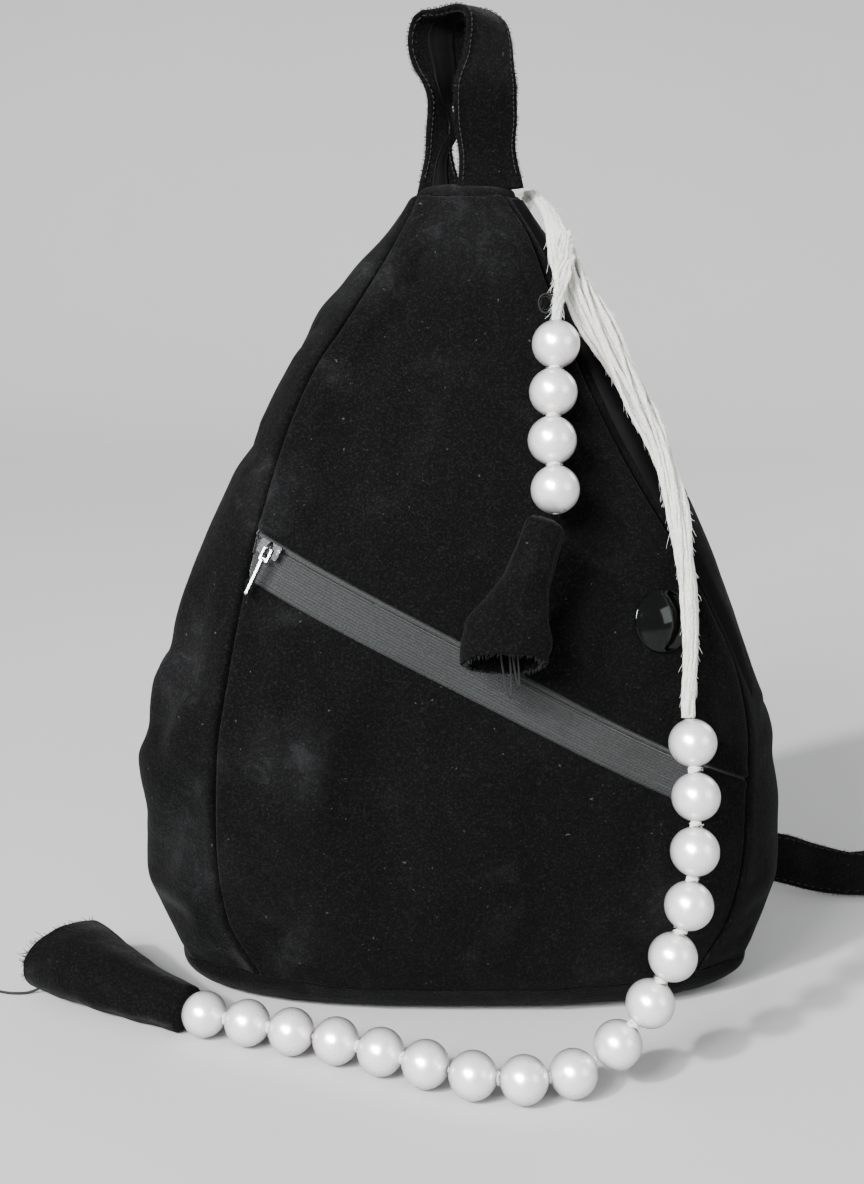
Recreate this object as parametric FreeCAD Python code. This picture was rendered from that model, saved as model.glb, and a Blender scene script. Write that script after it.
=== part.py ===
import FreeCAD, Part
import math
import os

# Small velvet evening bag: a flat-topped teardrop body that stands on its own base, a twisted grab
# loop on top, a slanted zip pocket and a snap-closed mouth in front, a shoulder strap behind, and a
# yarn-hung string of pearls with two velvet tassels.  Millimetres.  +Z is up, -Y is the front, and
# the origin is the centre of the base on the floor.

# ---- driving dimensions -------------------------------------------------------------------------
BODY_HEIGHT = 288.0
BASE_ROUND = 14.0              # radius of the rounding between the walls and the flat base
SECTION_POWER = 2.5            # 2 gives an ellipse, larger gives squarer corners
VELVET = 1.2                   # cloth thickness with its backing
WADDING = 2.0
LINING = 0.8
LAYER_GAP = 0.6                # air between neighbouring layers
PIECE_GAP = 0.5                # air between neighbouring panels along a seam
FRONT_SETBACK = 2.8            # how far the side walls stop short of the front seams
BACK_SETBACK = 3.6
ZIP_BAND = 17.0                # visible tape across the pocket opening
ZIP_SLIT = 2.0                 # slot between the two tapes
TAPE_UPPER = 2.6               # visible part of the tape above the slot
TAPE = 0.8                     # tape thickness
FLAP_SWING_TOP = 208.0         # height where the moving mouth flap starts
PEARL = 16.0                   # pearl diameter
PEARL_BORE = 4.0
PEARL_PITCH = 16.3             # between pearls that rest or hang loosely
STRETCHED_PITCH = 17.2         # between pearls whose string carries the rest
CORD = 1.4                     # cord diameter through the pearls
YARN = 7.0                     # diameter of the yarn bundle
SNAP_CAP = 21.0
STRAP_WIDTH = 20.0
STRAP_THICK = 2.4
LOOP_THICK = 1.4

V = FreeCAD.Vector
TOP_PLATE = 1.6                # thickness of the small flat top
TOP_LEVEL = BODY_HEIGHT - 2.0
PANEL_HEAD = TOP_LEVEL - 1.0   # where the wall panels end below the top
PANEL_FOOT = BASE_ROUND + PIECE_GAP
FLAP_GAP = 3.0                 # room for the flap to move under the fixed part above it
FLAP_HEAD = FLAP_SWING_TOP - 14.0
INNER_FOOT = 20.0              # where wadding and linings start above the base
INNER_HEAD = 270.0
SIDE_HEAD = 246.0
WADDING_DEPTH = VELVET + LAYER_GAP
LINING_DEPTH = WADDING_DEPTH + WADDING + LAYER_GAP
POCKET_DEPTH = LINING_DEPTH + LINING + LAYER_GAP


# ---- curves that give the body its shape --------------------------------------------------------
def smooth(points):
    """A monotone curve through (height, value) points, flat beyond both ends."""
    points = sorted(points)
    at = [p[0] for p in points]
    value = [p[1] for p in points]
    last = len(points) - 1
    slope = [(value[i + 1] - value[i]) / (at[i + 1] - at[i]) for i in range(last)]
    tangent = [slope[0]]
    for before, after in zip(slope, slope[1:]):
        same_way = before * after > 0
        tangent.append(2 * before * after / (before + after) if same_way else 0.0)
    tangent.append(slope[-1])

    def curve(x):
        x = min(max(x, at[0]), at[-1])
        i = max(k for k in range(last) if at[k] <= x)
        step = at[i + 1] - at[i]
        t = (x - at[i]) / step
        start = value[i] * (1 + 2 * t) * (1 - t) ** 2 + step * tangent[i] * t * (1 - t) ** 2
        finish = value[i + 1] * t * t * (3 - 2 * t) + step * tangent[i + 1] * t * t * (t - 1)
        return start + finish

    return curve


half_width = smooth([(14, 108), (25, 111.5), (33, 114), (45, 117), (70, 117), (95, 115.5),
                     (110, 112), (140, 101.3), (175, 87), (209, 70.5), (238, 54.5), (257, 42.5),
                     (275, 26.5), (288, 17.5)])
lean = smooth([(14, 0), (70, -0.8), (95, -3.8), (143, -4.4), (166, -3.4), (200, -2.7), (244, -2.3),
               (258, -0.5), (288, 0)])       # the filled body sags a little to the left
front_line = smooth([(14, -45), (60, -50), (110, -52), (160, -45), (214, -25), (270, 0), (288, 12)])
back_line = smooth([(14, 38), (60, 42), (160, 42), (214, 41), (270, 38), (288, 33)])
left_seam = smooth([(14, -74), (36, -85), (64, -88), (98, -86.5), (126, -82), (152, -77),
                    (182, -70), (208, -62), (228, -53), (244, -42), (266, -28), (288, -16)])
right_edge = smooth([(14, 84), (36, 95), (64, 99), (98, 99), (121, 95.5), (150, 83), (178, 66),
                     (196, 55), (209, 48), (230, 38), (253, 29), (274, 21), (288, 11)])
zip_line = smooth([(-95, 184), (-69, 171.5), (0, 137), (70, 99), (105, 81)])


def fold_line(z):
    """Where the mouth flap bends: a straight line, nearly upright, left of the snap."""
    return 46.0 + (215.0 - z) * 0.06


def section(z, depth):
    """Half width, middle and half depth of the body at a height, a given depth under the skin."""
    level = max(z, BASE_ROUND)
    rise = max(BASE_ROUND - z, 0.0)
    inset = BASE_ROUND - math.sqrt(max(BASE_ROUND ** 2 - rise ** 2, 0.0))
    front = front_line(level)
    back = back_line(level)
    shrink = inset + depth
    return half_width(level) - shrink, (front + back) / 2, (back - front) / 2 - shrink


def across(x, z, depth, side):
    """Depth coordinate of the skin at (x, z): side -1 is the front and +1 is the back."""
    width, middle, reach = section(z, depth)
    fullness = max(1 - abs((x - lean(z)) / width) ** SECTION_POWER, 0.0)
    return middle + side * reach * fullness ** (1 / SECTION_POWER)


def outward(y, z, depth, side):
    """Sideways coordinate of the skin at (y, z): side -1 is left and +1 is right."""
    width, middle, reach = section(z, depth)
    fullness = max(1 - abs((y - middle) / reach) ** SECTION_POWER, 0.0)
    return lean(z) + side * width * fullness ** (1 / SECTION_POWER)


def off_front(x, z, stand_off):
    """A point a given distance in front of the front skin."""
    return V(x, across(x, z, 0, -1) - stand_off, z)


# ---- solids -------------------------------------------------------------------------------------
def mix(a, b, t):
    return a + (b - a) * t


def slab(place, outer, inner, columns, rows):
    """A solid sheet between two depths; place(a, b, depth) maps the unit square to the sheet."""
    def skin(depth):
        grid = [[place(i / (columns - 1), j / (rows - 1), depth) for j in range(rows)]
                for i in range(columns)]
        surface = Part.BSplineSurface()
        surface.interpolate(grid)
        return surface

    near = skin(outer)
    far = skin(inner)
    u0, u1, v0, v1 = near.bounds()
    p0, p1, q0, q1 = far.bounds()
    rims = [(near.uIso(u0), far.uIso(p0)), (near.uIso(u1), far.uIso(p1)),
            (near.vIso(v0), far.vIso(q0)), (near.vIso(v1), far.vIso(q1))]
    faces = [near.toShape(), far.toShape()]
    faces += [a.makeRuledSurface(b).toShape() for a, b in rims]
    return closed(faces)


def closed(faces):
    shell = Part.makeShell(faces)
    shell.sewShape()
    solid = Part.Solid(Part.Shell(shell.Faces))
    if solid.Volume < 0:
        solid.reverse()
    return solid


def sheet(side, left, right, low, high, outer, inner, columns=9, rows=25):
    """A front (side -1) or back (side +1) sheet; its edges are functions of height or width."""
    def place(a, b, depth):
        bottom = low(a)
        z = mix(bottom, high(a), b)
        x = mix(left(z), right(z), a)
        return V(x, across(x, z, depth, side), z)

    return slab(place, outer, inner, columns, rows)


def ribbon(stations, thickness, rows=3):
    """A flat ribbon through (centre, width direction, face direction, width) stations."""
    def place(a, b, depth):
        centre, wide, face, width = stations[round(a * (len(stations) - 1))]
        return centre + wide * (width * (b - 0.5)) + face * depth

    return slab(place, thickness / 2, -thickness / 2, len(stations), rows)


def rod(points, diameter):
    """A round rod along a smooth curve through the points."""
    curve = Part.BSplineCurve()
    curve.interpolate(points)
    start = curve.value(curve.FirstParameter)
    along = curve.tangent(curve.FirstParameter)[0]
    ring = Part.Wire(Part.makeCircle(diameter / 2, start, along))
    return Part.Wire(curve.toShape()).makePipeShell([ring], True, False)


def placed(shape, centre, direction):
    """The shape, made along +Z at the origin, turned to a direction and moved to a centre."""
    copy = shape.copy()
    turn = FreeCAD.Placement(centre, FreeCAD.Rotation(V(0, 0, 1), direction))
    copy.Placement = turn.multiply(copy.Placement)
    return copy


def unit(vector):
    return vector / vector.Length


def save(name, shape):
    os.makedirs("parts", exist_ok=True)
    shape.exportStep("parts/" + name + ".step")


# ---- outer panels -------------------------------------------------------------------------------
def band_top(x):
    return zip_line(x) + TAPE_UPPER + ZIP_SLIT / 2


def band_foot(x):
    return band_top(x) - ZIP_BAND


def along_seams(height_at):
    """Turns a height along x into a height along the panel's own left-to-right fraction."""
    def height(a):
        z = height_at(0)
        for _ in range(12):
            z = height_at(mix(left_seam(z), right_edge(z), a))
        return z

    return height


def front_lower_panel():
    return sheet(-1, left_seam, right_edge, lambda a: PANEL_FOOT,
                 along_seams(lambda x: band_foot(x) - PIECE_GAP), 0, VELVET)


def front_upper_panel():
    joint_level = FLAP_SWING_TOP + FLAP_GAP

    def left_of_fold(z):
        return fold_line(z) - PIECE_GAP

    def foot(a):
        z = zip_line(0)
        for _ in range(12):
            z = band_top(mix(left_seam(z), left_of_fold(z), a)) + PIECE_GAP
        return z

    lower = sheet(-1, left_seam, left_of_fold, foot, lambda a: joint_level, 0, VELVET)
    upper = sheet(-1, left_seam, right_edge, lambda a: joint_level, lambda a: PANEL_HEAD,
                  0, VELVET)
    return lower.fuse(upper)


def mouth_flap_sheet(outer, inner, trim):
    """The part of the front that bends away from the snap stud, right of the fold line."""
    def from_fold(z):
        return fold_line(z) + PIECE_GAP + trim

    def to_edge(z):
        return right_edge(z) - trim

    def foot(a):
        z = zip_line(fold_line(0))
        for _ in range(12):
            z = band_top(mix(from_fold(z), to_edge(z), a)) + PIECE_GAP + trim
        return z

    return sheet(-1, from_fold, to_edge, foot, lambda a: FLAP_HEAD - 2 * trim, outer, inner)


def back_seam(z, side):
    """Where the back panel meets the left (-1) or the right (+1) side wall."""
    return lean(z) + side * 0.80 * section(z, 0)[0]


def back_sheet(outer, inner, low, high, trim):
    return sheet(1, lambda z: back_seam(z, -1) + trim, lambda z: back_seam(z, 1) - trim,
                 lambda a: low, lambda a: high, outer, inner)


def gusset(side, edge, low, high, outer, inner, trim):
    """A side wall from the front seam to the back seam."""
    def place(a, b, depth):
        z = mix(low, high, b)
        front = across(edge(z), z, 0, -1) + FRONT_SETBACK + trim
        back = across(back_seam(z, side), z, 0, 1) - BACK_SETBACK - trim
        y = mix(front, back, a)
        return V(outward(y, z, depth, side), y, z)

    return slab(place, outer, inner, 9, 25)


FACING_DEPTH = 8.0
FACING_FOOT = 118.0


def mouth_facing():
    """The satin strip behind the free front edge; the snap stud is set in it."""
    inner_edge = smooth([(FACING_FOOT, 58), (205, 44), (232, 28), (258, 16), (280, 4)])
    return sheet(-1, inner_edge, lambda z: lean(z) + 0.93 * section(z, FACING_DEPTH)[0],
                 lambda a: FACING_FOOT, lambda a: TOP_LEVEL - FACING_DEPTH,
                 FACING_DEPTH, FACING_DEPTH + LINING)


def ring_wire(z, depth, count=32):
    width, middle, reach = section(z, depth)
    points = []
    for i in range(count):
        turn = 2 * math.pi * (i + 0.5) / count
        power = 2 / SECTION_POWER
        x = lean(z) + width * math.copysign(abs(math.cos(turn)) ** power, math.cos(turn))
        y = middle + reach * math.copysign(abs(math.sin(turn)) ** power, math.sin(turn))
        points.append(V(x, y, z))
    curve = Part.BSplineCurve()
    curve.interpolate(points, PeriodicFlag=True)
    return Part.Wire(curve.toShape())


def base_tray():
    """The rounded bottom in one velvet piece, turned up all round to meet the walls."""
    outer = Part.makeLoft([ring_wire(z, 0) for z in (0, 1.5, 4, 8, BASE_ROUND)], True)
    inner = Part.makeLoft([ring_wire(z, VELVET) for z in (VELVET, 2.5, 4.5, 8, BASE_ROUND + 1)], True)
    return outer.cut(inner)


def flat_plate(z, depth, thickness):
    return Part.Face(ring_wire(z, depth)).extrude(V(0, 0, thickness))


def top_panel():
    return flat_plate(TOP_LEVEL, 0, TOP_PLATE)


# ---- pocket and zip -----------------------------------------------------------------------------
TAPE_START = -70.0             # how far the tape shows at its left and right ends
TAPE_END = 92.0
TOOTH_ROW = 1.2                # height of a row of teeth, and its drop behind the tape's edge
TOOTH_FRONT = 2.2
TOOTH_BACK = 3.4


def band_sheet(foot_drop, head_drop, outer, inner, start=TAPE_START, end=TAPE_END):
    """A strip that follows the zip line, between two distances measured down from its top edge."""
    def place(a, b, depth):
        x = mix(start, end, a)
        z = band_top(x) - mix(foot_drop, head_drop, b)
        return V(x, across(x, z, depth, -1), z)

    return slab(place, outer, inner, 13, 3)


def zip_tape_upper():
    return band_sheet(TAPE_UPPER, 0, LAYER_GAP, LAYER_GAP + TAPE)


def zip_tape_lower():
    return band_sheet(ZIP_BAND, TAPE_UPPER + ZIP_SLIT, LAYER_GAP, LAYER_GAP + TAPE)


def zip_coils():
    """Two hidden rows of teeth, one behind the edge of each tape."""
    shapes = []
    for drop in (TAPE_UPPER - TOOTH_ROW, TAPE_UPPER + ZIP_SLIT + TOOTH_ROW):
        shapes.append(band_sheet(drop + TOOTH_ROW / 2, drop - TOOTH_ROW / 2, TOOTH_FRONT,
                                 TOOTH_BACK, TAPE_START + 6.0, TAPE_END - 4.0))
    return Part.makeCompound(shapes)


def zip_stops():
    """A small folded stop across the coils at each end."""
    shapes = []
    for start in (TAPE_START + 2.5, TAPE_END - 3.0):
        shapes.append(band_sheet(TAPE_UPPER + 4, TAPE_UPPER - 2, TOOTH_FRONT, TOOTH_BACK + 0.2,
                                 start, start + 2.5))
    return Part.makeCompound(shapes)


POUCH_FOOT = 40.0
POUCH_RIGHT = 40.0
POUCH_WALL = 1.2
POUCH_THICK = 5.0


def pocket_bag():
    """A flat pouch behind the zip, open along the zip and sewn shut on its other three sides."""
    def pouch(wall, past_mouth):
        return sheet(-1, lambda z: left_seam(z) + 8.0 + wall, lambda z: POUCH_RIGHT - wall,
                     lambda a: POUCH_FOOT + wall, lambda a: mix(168.0, 112.0, a) + past_mouth,
                     POCKET_DEPTH + wall, POCKET_DEPTH + POUCH_THICK - wall)

    return pouch(0.0, 0.0).cut(pouch(POUCH_WALL, 2.0))


SLIDER_X = -66.0               # where the slider rests, near the closed end
SLIDER_END_X = 58.0            # how far it can be drawn
SLIDER_LIFT = 1.0              # its plate's height above the skin
SLIDER_PLATE = 1.2
BAIL = 2.3                     # radius of the bail's arch
WIRE = 0.9
PULL_SEAT = 0.9                # height of the pull's crossbar above the bail's feet
PULL_LENGTH = 17.0
PULL_HANGS = V(-6.5, -3.0, -13.0)


def zip_point(x):
    z = zip_line(x)
    return V(x, across(x, z, 0, -1), z)


def zip_arc():
    """The circle that the slider travels on, through both ends and the middle of its path."""
    start, end = zip_point(SLIDER_X), zip_point(SLIDER_END_X)
    middle = zip_point((SLIDER_X + SLIDER_END_X) / 2)
    return Part.Arc(start, middle, end).toShape().Curve


def slider_frame(lift):
    """Point, travel direction and outward direction of the slider at rest."""
    arc = zip_arc()
    here = zip_point(SLIDER_X)
    out = unit(here - arc.Center)
    return here + out * lift, unit(arc.Axis.cross(out)), out


def in_frame(shape, origin, travel, out):
    """Places a shape whose X runs along the zip and whose Z points out of the bag."""
    side = out.cross(travel)
    matrix = FreeCAD.Matrix(travel.x, side.x, out.x, origin.x,
                            travel.y, side.y, out.y, origin.y,
                            travel.z, side.z, out.z, origin.z, 0, 0, 0, 1)
    copy = shape.copy()
    copy.Placement = FreeCAD.Placement(matrix).multiply(copy.Placement)
    return copy


def zip_slider():
    """A small plate with an arched bail that the pull's crossbar is caught under."""
    origin, travel, out = slider_frame(SLIDER_LIFT)
    plate = Part.makeBox(8.0, 5.0, SLIDER_PLATE, V(-4.0, -2.5, 0))
    plate = plate.makeFillet(0.5, [e for e in plate.Edges if abs(e.Length - SLIDER_PLATE) < 0.01])
    neck = Part.makeBox(2.0, 0.6, 2.9, V(-1.0, -0.3, -2.8))
    bail = Part.makeTorus(BAIL, WIRE / 2, V(0, 0, 0), V(0, 1, 0))
    bail = bail.common(Part.makeBox(8, 2, 4, V(-4, -1, 0)))
    bail.translate(V(0, 0, SLIDER_PLATE - 0.1))
    body = in_frame(plate.fuse(neck), origin, travel, out)
    return body.fuse(in_frame(bail, origin, pull_axes(out), out))


def pull_axes(out):
    """Direction along the hanging pull, square to the slider's outward direction."""
    return unit(PULL_HANGS - out * out.dot(PULL_HANGS))


def zip_pull():
    """A thin tongue, set on edge in a small frame whose crossbar turns under the slider's bail."""
    sheet_metal = 0.8
    crossbar = Part.makeCylinder(WIRE / 2, 3.0, V(0, -1.5, 0), V(0, 1, 0))
    arms = [Part.makeBox(3.9, 0.6, sheet_metal, V(0, side, -sheet_metal / 2)) for side in (-1.6, 1.0)]
    yoke = Part.makeBox(1.0, 3.2, sheet_metal, V(3.3, -1.6, -sheet_metal / 2))
    tongue = Part.makeBox(PULL_LENGTH - 3.6, sheet_metal, 2.6, V(3.6, -sheet_metal / 2, -0.6))
    tongue = tongue.makeFillet(0.7, [e for e in tongue.Edges if abs(e.Length - sheet_metal) < 0.01])
    origin, travel, out = slider_frame(SLIDER_LIFT + SLIDER_PLATE - 0.1 + PULL_SEAT)
    return in_frame(crossbar.fuse(arms + [yoke, tongue]), origin, pull_axes(out), out)


# ---- snap ---------------------------------------------------------------------------------------
SNAP_X = 65.5
SNAP_Z = 146.5


def snap_frame():
    """The snap's centre on the skin and its outward axis."""
    here = off_front(SNAP_X, SNAP_Z, 0)
    right = off_front(SNAP_X + 2, SNAP_Z, 0) - here
    up = off_front(SNAP_X, SNAP_Z + 2, 0) - here
    out = unit(right.cross(up))
    if out.y > 0:
        out = out * -1
    return here, out


def snap_piece(profile):
    """A turned piece: (radius, height) points spun about the snap's axis."""
    centre, out = snap_frame()
    points = [V(r, 0, h) for r, h in profile]
    face = Part.Face(Part.makePolygon(points + points[:1]))
    return placed(face.revolve(V(0, 0, 0), V(0, 0, 1), 360), centre, out)


def snap_hole():
    centre, out = snap_frame()
    return placed(Part.makeCylinder(2.4, 24.0, V(0, 0, -12)), centre, out)


def snap_cap():
    """A thin polished dome with the rivet that holds it to the flap."""
    radius = SNAP_CAP / 2
    rise = 3.2
    ball = (radius ** 2 + rise ** 2) / (2 * rise)
    rim = V(radius, 0, 0.8)
    mid = V(radius * 0.72, 0, 0.8 + math.sqrt(ball ** 2 - (radius * 0.72) ** 2) - (ball - rise))
    crown = V(0, 0, 0.8 + rise)
    dome = Part.Arc(rim, mid, crown).toShape()
    stem = [crown, V(0, 0, -3.1), V(1.6, 0, -3.1), V(1.6, 0, 0.4), V(radius, 0, 0.4), rim]
    face = Part.Face(Part.Wire([dome] + Part.makePolygon(stem).Edges))
    centre, out = snap_frame()
    return placed(face.revolve(V(0, 0, 0), V(0, 0, 1), 360), centre, out)


def snap_socket():
    return snap_piece([(0, -3.3), (7.0, -3.3), (7.0, -5.4), (3.4, -5.4), (3.4, -3.8), (0, -3.8)])


def snap_stud():
    return snap_piece([(0, -4.0), (2.0, -4.0), (2.3, -4.8), (2.0, -5.8), (2.0, -6.6), (6.5, -6.6),
                       (6.5, -7.2), (1.5, -7.2), (1.5, -9.6), (0, -9.6)])


def snap_back_plate():
    return snap_piece([(0, -9.9), (6.5, -9.9), (6.5, -10.7), (0, -10.7)])


# ---- loop and strap -----------------------------------------------------------------------------
def smooth_stations(keys, count):
    """Evenly spaced ribbon stations through a few keys of (centre, width direction, width)."""
    curve = Part.BSplineCurve()
    curve.interpolate([k[0] for k in keys])
    places = [curve.parameter(k[0]) for k in keys]
    values = [[k[1].x, k[1].y, k[1].z, k[2]] for k in keys]
    tracks = [smooth(list(zip(places, [v[i] for v in values]))) for i in range(4)]
    stations = []
    for i in range(count):
        t = mix(places[0], places[-1], i / (count - 1))
        along = curve.tangent(t)[0]
        wide = V(tracks[0](t), tracks[1](t), tracks[2](t))
        wide = unit(wide - along * wide.dot(along))
        stations.append((curve.value(t), wide, unit(along.cross(wide)), tracks[3](t)))
    return stations


def loop_stations():
    """Up the left leg, over a flat twisted crown, and down the broader right leg in front of it."""
    foot = BODY_HEIGHT + 2.0
    keys = [(V(-10.6, 20.5, foot), V(1, 0.1, 0), 12.0),
            (V(-10.3, 22.5, foot + 12), V(0.9, 0.4, 0), 12.0),
            (V(-8.8, 25, foot + 27), V(0.75, 0.65, 0), 13.0),
            (V(-9.6, 25.5, foot + 40), V(0.95, 0.3, 0), 16.5),
            (V(-9.6, 24.5, foot + 49), V(0.9, 0.45, 0.1), 18.0),
            (V(-3, 20, foot + 56), V(0.35, 0.9, 0.1), 19.0),
            (V(4.5, 14, foot + 55), V(0.4, 0.9, 0), 18.0),
            (V(8.2, 11, foot + 46), V(0.75, 0.6, 0), 16.0),
            (V(9.4, 11, foot + 32), V(0.75, 0.6, 0), 13.5),
            (V(8.4, 13, foot + 23), V(0.85, 0.5, 0), 14.0),
            (V(6.6, 16, foot + 12), V(1, 0.1, 0), 16.0),
            (V(6.1, 18.5, foot), V(1, 0, 0), 20.0)]
    return smooth_stations(keys, 33)


def grab_loop_layer(low, high, trim):
    stations = loop_stations()

    def place(a, b, depth):
        centre, wide, face, width = stations[round(a * (len(stations) - 1))]
        return centre + wide * ((width - trim) * (b - 0.5)) + face * depth

    return slab(place, low, high, len(stations), 3)


def strap_stations():
    """From the bottom corner out to the right, round a lazy turn, and up behind to the top."""
    up = V(0, 0, 1)
    flat = STRAP_THICK / 2 + 0.7
    upright = STRAP_WIDTH / 2 + 0.6
    spots = [(V(98.0, 35.7, 22), up), (V(114, 42, 23.5), up), (V(131, 46, 21.5), V(0, 0.15, 1)),
             (V(153, 57, 11.2), V(0, 0.5, 0.86)), (V(172, 59, 7.6), V(0, 0.8, 0.6)),
             (V(204, 59, 7.6), V(0, 0.8, 0.6)), (V(228, 62, 9.6), V(-0.15, 0.3, 0.95)),
             (V(240, 70, upright), up), (V(228, 78, 9.4), V(0.1, 0.35, 0.93)),
             (V(204, 80, 4.6), V(0, 0.95, 0.3)), (V(160, 80, flat), V(0, 1, 0)),
             (V(80, 80, flat), V(0, 1, 0)), (V(42, 81, 4.6), V(0, 1, 0.1)),
             (V(18, 83, 20), V(0.15, 1, 0.15)), (V(6, 84, 50), V(0.5, 0.85, 0)),
             (V(1, 81, 85), V(0.9, 0.4, 0)), (V(0, 77, 125), V(1, 0, 0)), (V(0, 68, 200), V(1, 0, 0)),
             (V(0, 55, 255), V(1, 0, 0)), (V(0, 49, 272), V(1, 0, 0))]
    return smooth_stations([(centre, wide, STRAP_WIDTH) for centre, wide in spots], 61)


def shoulder_strap():
    return ribbon(strap_stations(), STRAP_THICK)


def strap_tab_top():
    """A folded tab sewn into the top of the back seam; the strap's end is stitched to it."""
    return Part.makeBox(STRAP_WIDTH, STRAP_THICK, 12.0, V(-STRAP_WIDTH / 2, 38.2, 276.0))


def strap_tab_bottom():
    """The other tab, set in the lower end of the right back seam and pointing out of it."""
    tab = Part.makeBox(5.6, STRAP_THICK, STRAP_WIDTH, V(0, -STRAP_THICK / 2, 0))
    tab.rotate(V(0, 0, 0), V(0, 0, 1), 37)
    tab.translate(V(90.5, 30.2, 12.0))
    return tab


# ---- yarn, pearls and tassels -------------------------------------------------------------------
def long_yarn_points():
    spots = [(36, 262, 10), (41, 250, 10), (49, 236, 9.5), (59, 218, 9), (66, 202, 8.5), (70.5, 186, 8),
             (73, 170, 8), (74.5, 154, 8), (75.5, 138, 9), (76, 122, 9.5)]
    start = [V(26.5, 30, 284), V(30.0, 16, 280.5), V(33.0, 3, 272.5)]
    return start + [off_front(x, z, s) for x, z, s in spots]


def short_yarn_points():
    return [V(31.0, -11.5, 261.5), V(30.8, -14.5, 256.5), V(30.2, -18.0, 251.5), V(29.5, -21.5, 247.0)]


def pearl_row(points):
    """One bored pearl at each point, its bore lying along the string."""
    shapes = []
    for i, here in enumerate(points):
        before = points[max(i - 1, 0)]
        after = points[min(i + 1, len(points) - 1)]
        ball = Part.makeSphere(PEARL / 2).cut(
            Part.makeCylinder(PEARL_BORE / 2, PEARL * 2, V(0, 0, -PEARL)))
        shapes.append(placed(ball, here, unit(after - before)))
    return Part.makeCompound(shapes)


def stepped(points, pitches):
    """Points the given pitches apart along a smooth curve, from its first point."""
    curve = Part.BSplineCurve()
    curve.interpolate(points)
    along = curve.toShape().discretize(Distance=PEARL_PITCH / 40)
    chosen = [along[0]]
    for point in along:
        steps = len(chosen) - 1
        if steps < len(pitches) and (point - chosen[-1]).Length >= pitches[steps]:
            chosen.append(point)
    return chosen


SHORT_COUNT = 4
HANGING_COUNT = 7
FLOOR_GROUP = 3


def short_pearl_points():
    return stepped([V(29, -24.5, 237.5), V(27.8, -32.0, 221.5), V(27.2, -40.0, 206.0),
                    V(28.0, -47.5, 190.5), V(28.5, -54, 174.0)], [PEARL_PITCH] * (SHORT_COUNT - 1))


def long_pearl_points():
    floor = PEARL / 2
    path = [V(73.4, -61, 111.1), V(73.8, -68.7, 95.3), V(73.0, -75.1, 79.3), V(71.1, -79.7, 62.9),
            V(66.2, -83.0, 46.7), V(59.6, -84.2, 31.0), V(50.0, -85.6, 17.2), V(36.4, -89.6, floor + 0.6),
            V(19.8, -93.7, floor), V(4.5, -92.2, floor), V(-10.7, -86.5, floor), V(-25.6, -79.2, floor),
            V(-41.0, -72.4, floor), V(-56.4, -66.6, floor), V(-85.0, -56.5, floor), V(-100.0, -51.0, floor)]
    pitches = [STRETCHED_PITCH] * HANGING_COUNT + [PEARL_PITCH] * (3 * FLOOR_GROUP - 1)
    return stepped(path, pitches)


def cord_through(points, before, after):
    """The cord inside a row of pearls, reaching a little past the first and the last."""
    first = points[0] + unit(points[0] - points[1]) * before
    last = points[-1] + unit(points[-1] - points[-2]) * after
    curve = Part.BSplineCurve()
    curve.interpolate([first] + points + [last])
    steps = 4 * (len(points) + 1)
    rings = []
    for i in range(steps + 1):
        at = curve.FirstParameter + (curve.LastParameter - curve.FirstParameter) * i / steps
        rings.append(Part.Wire(Part.makeCircle(CORD / 2, curve.value(at), curve.tangent(at)[0])))
    return Part.makeLoft(rings, True, True)


def oval(centre, along, wide, across_width, across_depth):
    """An ellipse wire square to a direction."""
    wide = unit(wide - along * wide.dot(along))
    ellipse = Part.Ellipse(centre + wide * (across_width / 2),
                           centre + along.cross(wide) * (across_depth / 2), centre)
    return Part.Wire(ellipse.toShape())


TASSEL_SIZES = [(0.0, 0.30, 0.52), (0.18, 0.46, 0.62), (0.55, 0.74, 0.84), (1.0, 1.0, 1.0)]


def tassel_skirt(start, end, wide, rim_width, rim_depth, wall=1.6):
    """A hollow velvet cone, closed and gathered at the cord end and open at its rim."""
    along = unit(end - start)
    length = (end - start).Length

    def cone(lift, thinner):
        wires = []
        for t, broad, deep in TASSEL_SIZES:
            centre = start + along * (lift + (length - lift) * t)
            wires.append(oval(centre, along, wide, rim_width * broad - thinner,
                              rim_depth * deep - thinner))
        return Part.makeLoft(wires, True)

    hollow = cone(3.0, 2 * wall)
    mouth = oval(end + along * 2, along, wide, rim_width - 2 * wall, rim_depth - 2 * wall)
    rim = oval(end - along * 0.5, along, wide, rim_width - 2 * wall, rim_depth - 2 * wall)
    return cone(0.0, 0.0).cut(hollow).cut(Part.makeLoft([rim, mouth], True))


def tassel_core(start, end, wide, rim_width, rim_depth, past):
    """The bundle of threads inside the skirt, showing a little below the rim."""
    along = unit(end - start)
    length = (end - start).Length
    wires = []
    for t, size in ((0.2, 0.14), (0.6, 0.45), (1.0 + past / length, 0.6)):
        wires.append(oval(start + along * (length * t), along, wide,
                          rim_width * size, rim_depth * size * 0.8))
    return Part.makeLoft(wires, True)


SHORT_TASSEL = (V(26.5, -55.5, 178.5), V(12.0, -66.0, 137.5), V(1, 0, -0.35), 31.0, 13.0)
TASSEL_LENGTH = 59.0


def yarn_knot():
    """The knot that ties the yarn round the root of the loop, behind the top."""
    knot = Part.makeSphere(5.2)
    knot.translate(V(21.0, 38.5, 285.0))
    return knot


def thread_loop():
    """A small loop of black thread beside the first short pearl."""
    ring = Part.makeTorus(3.2, 0.35)
    return placed(ring, V(24.0, -14.0, 250.0), V(0.1, 1, 0.4))


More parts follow.
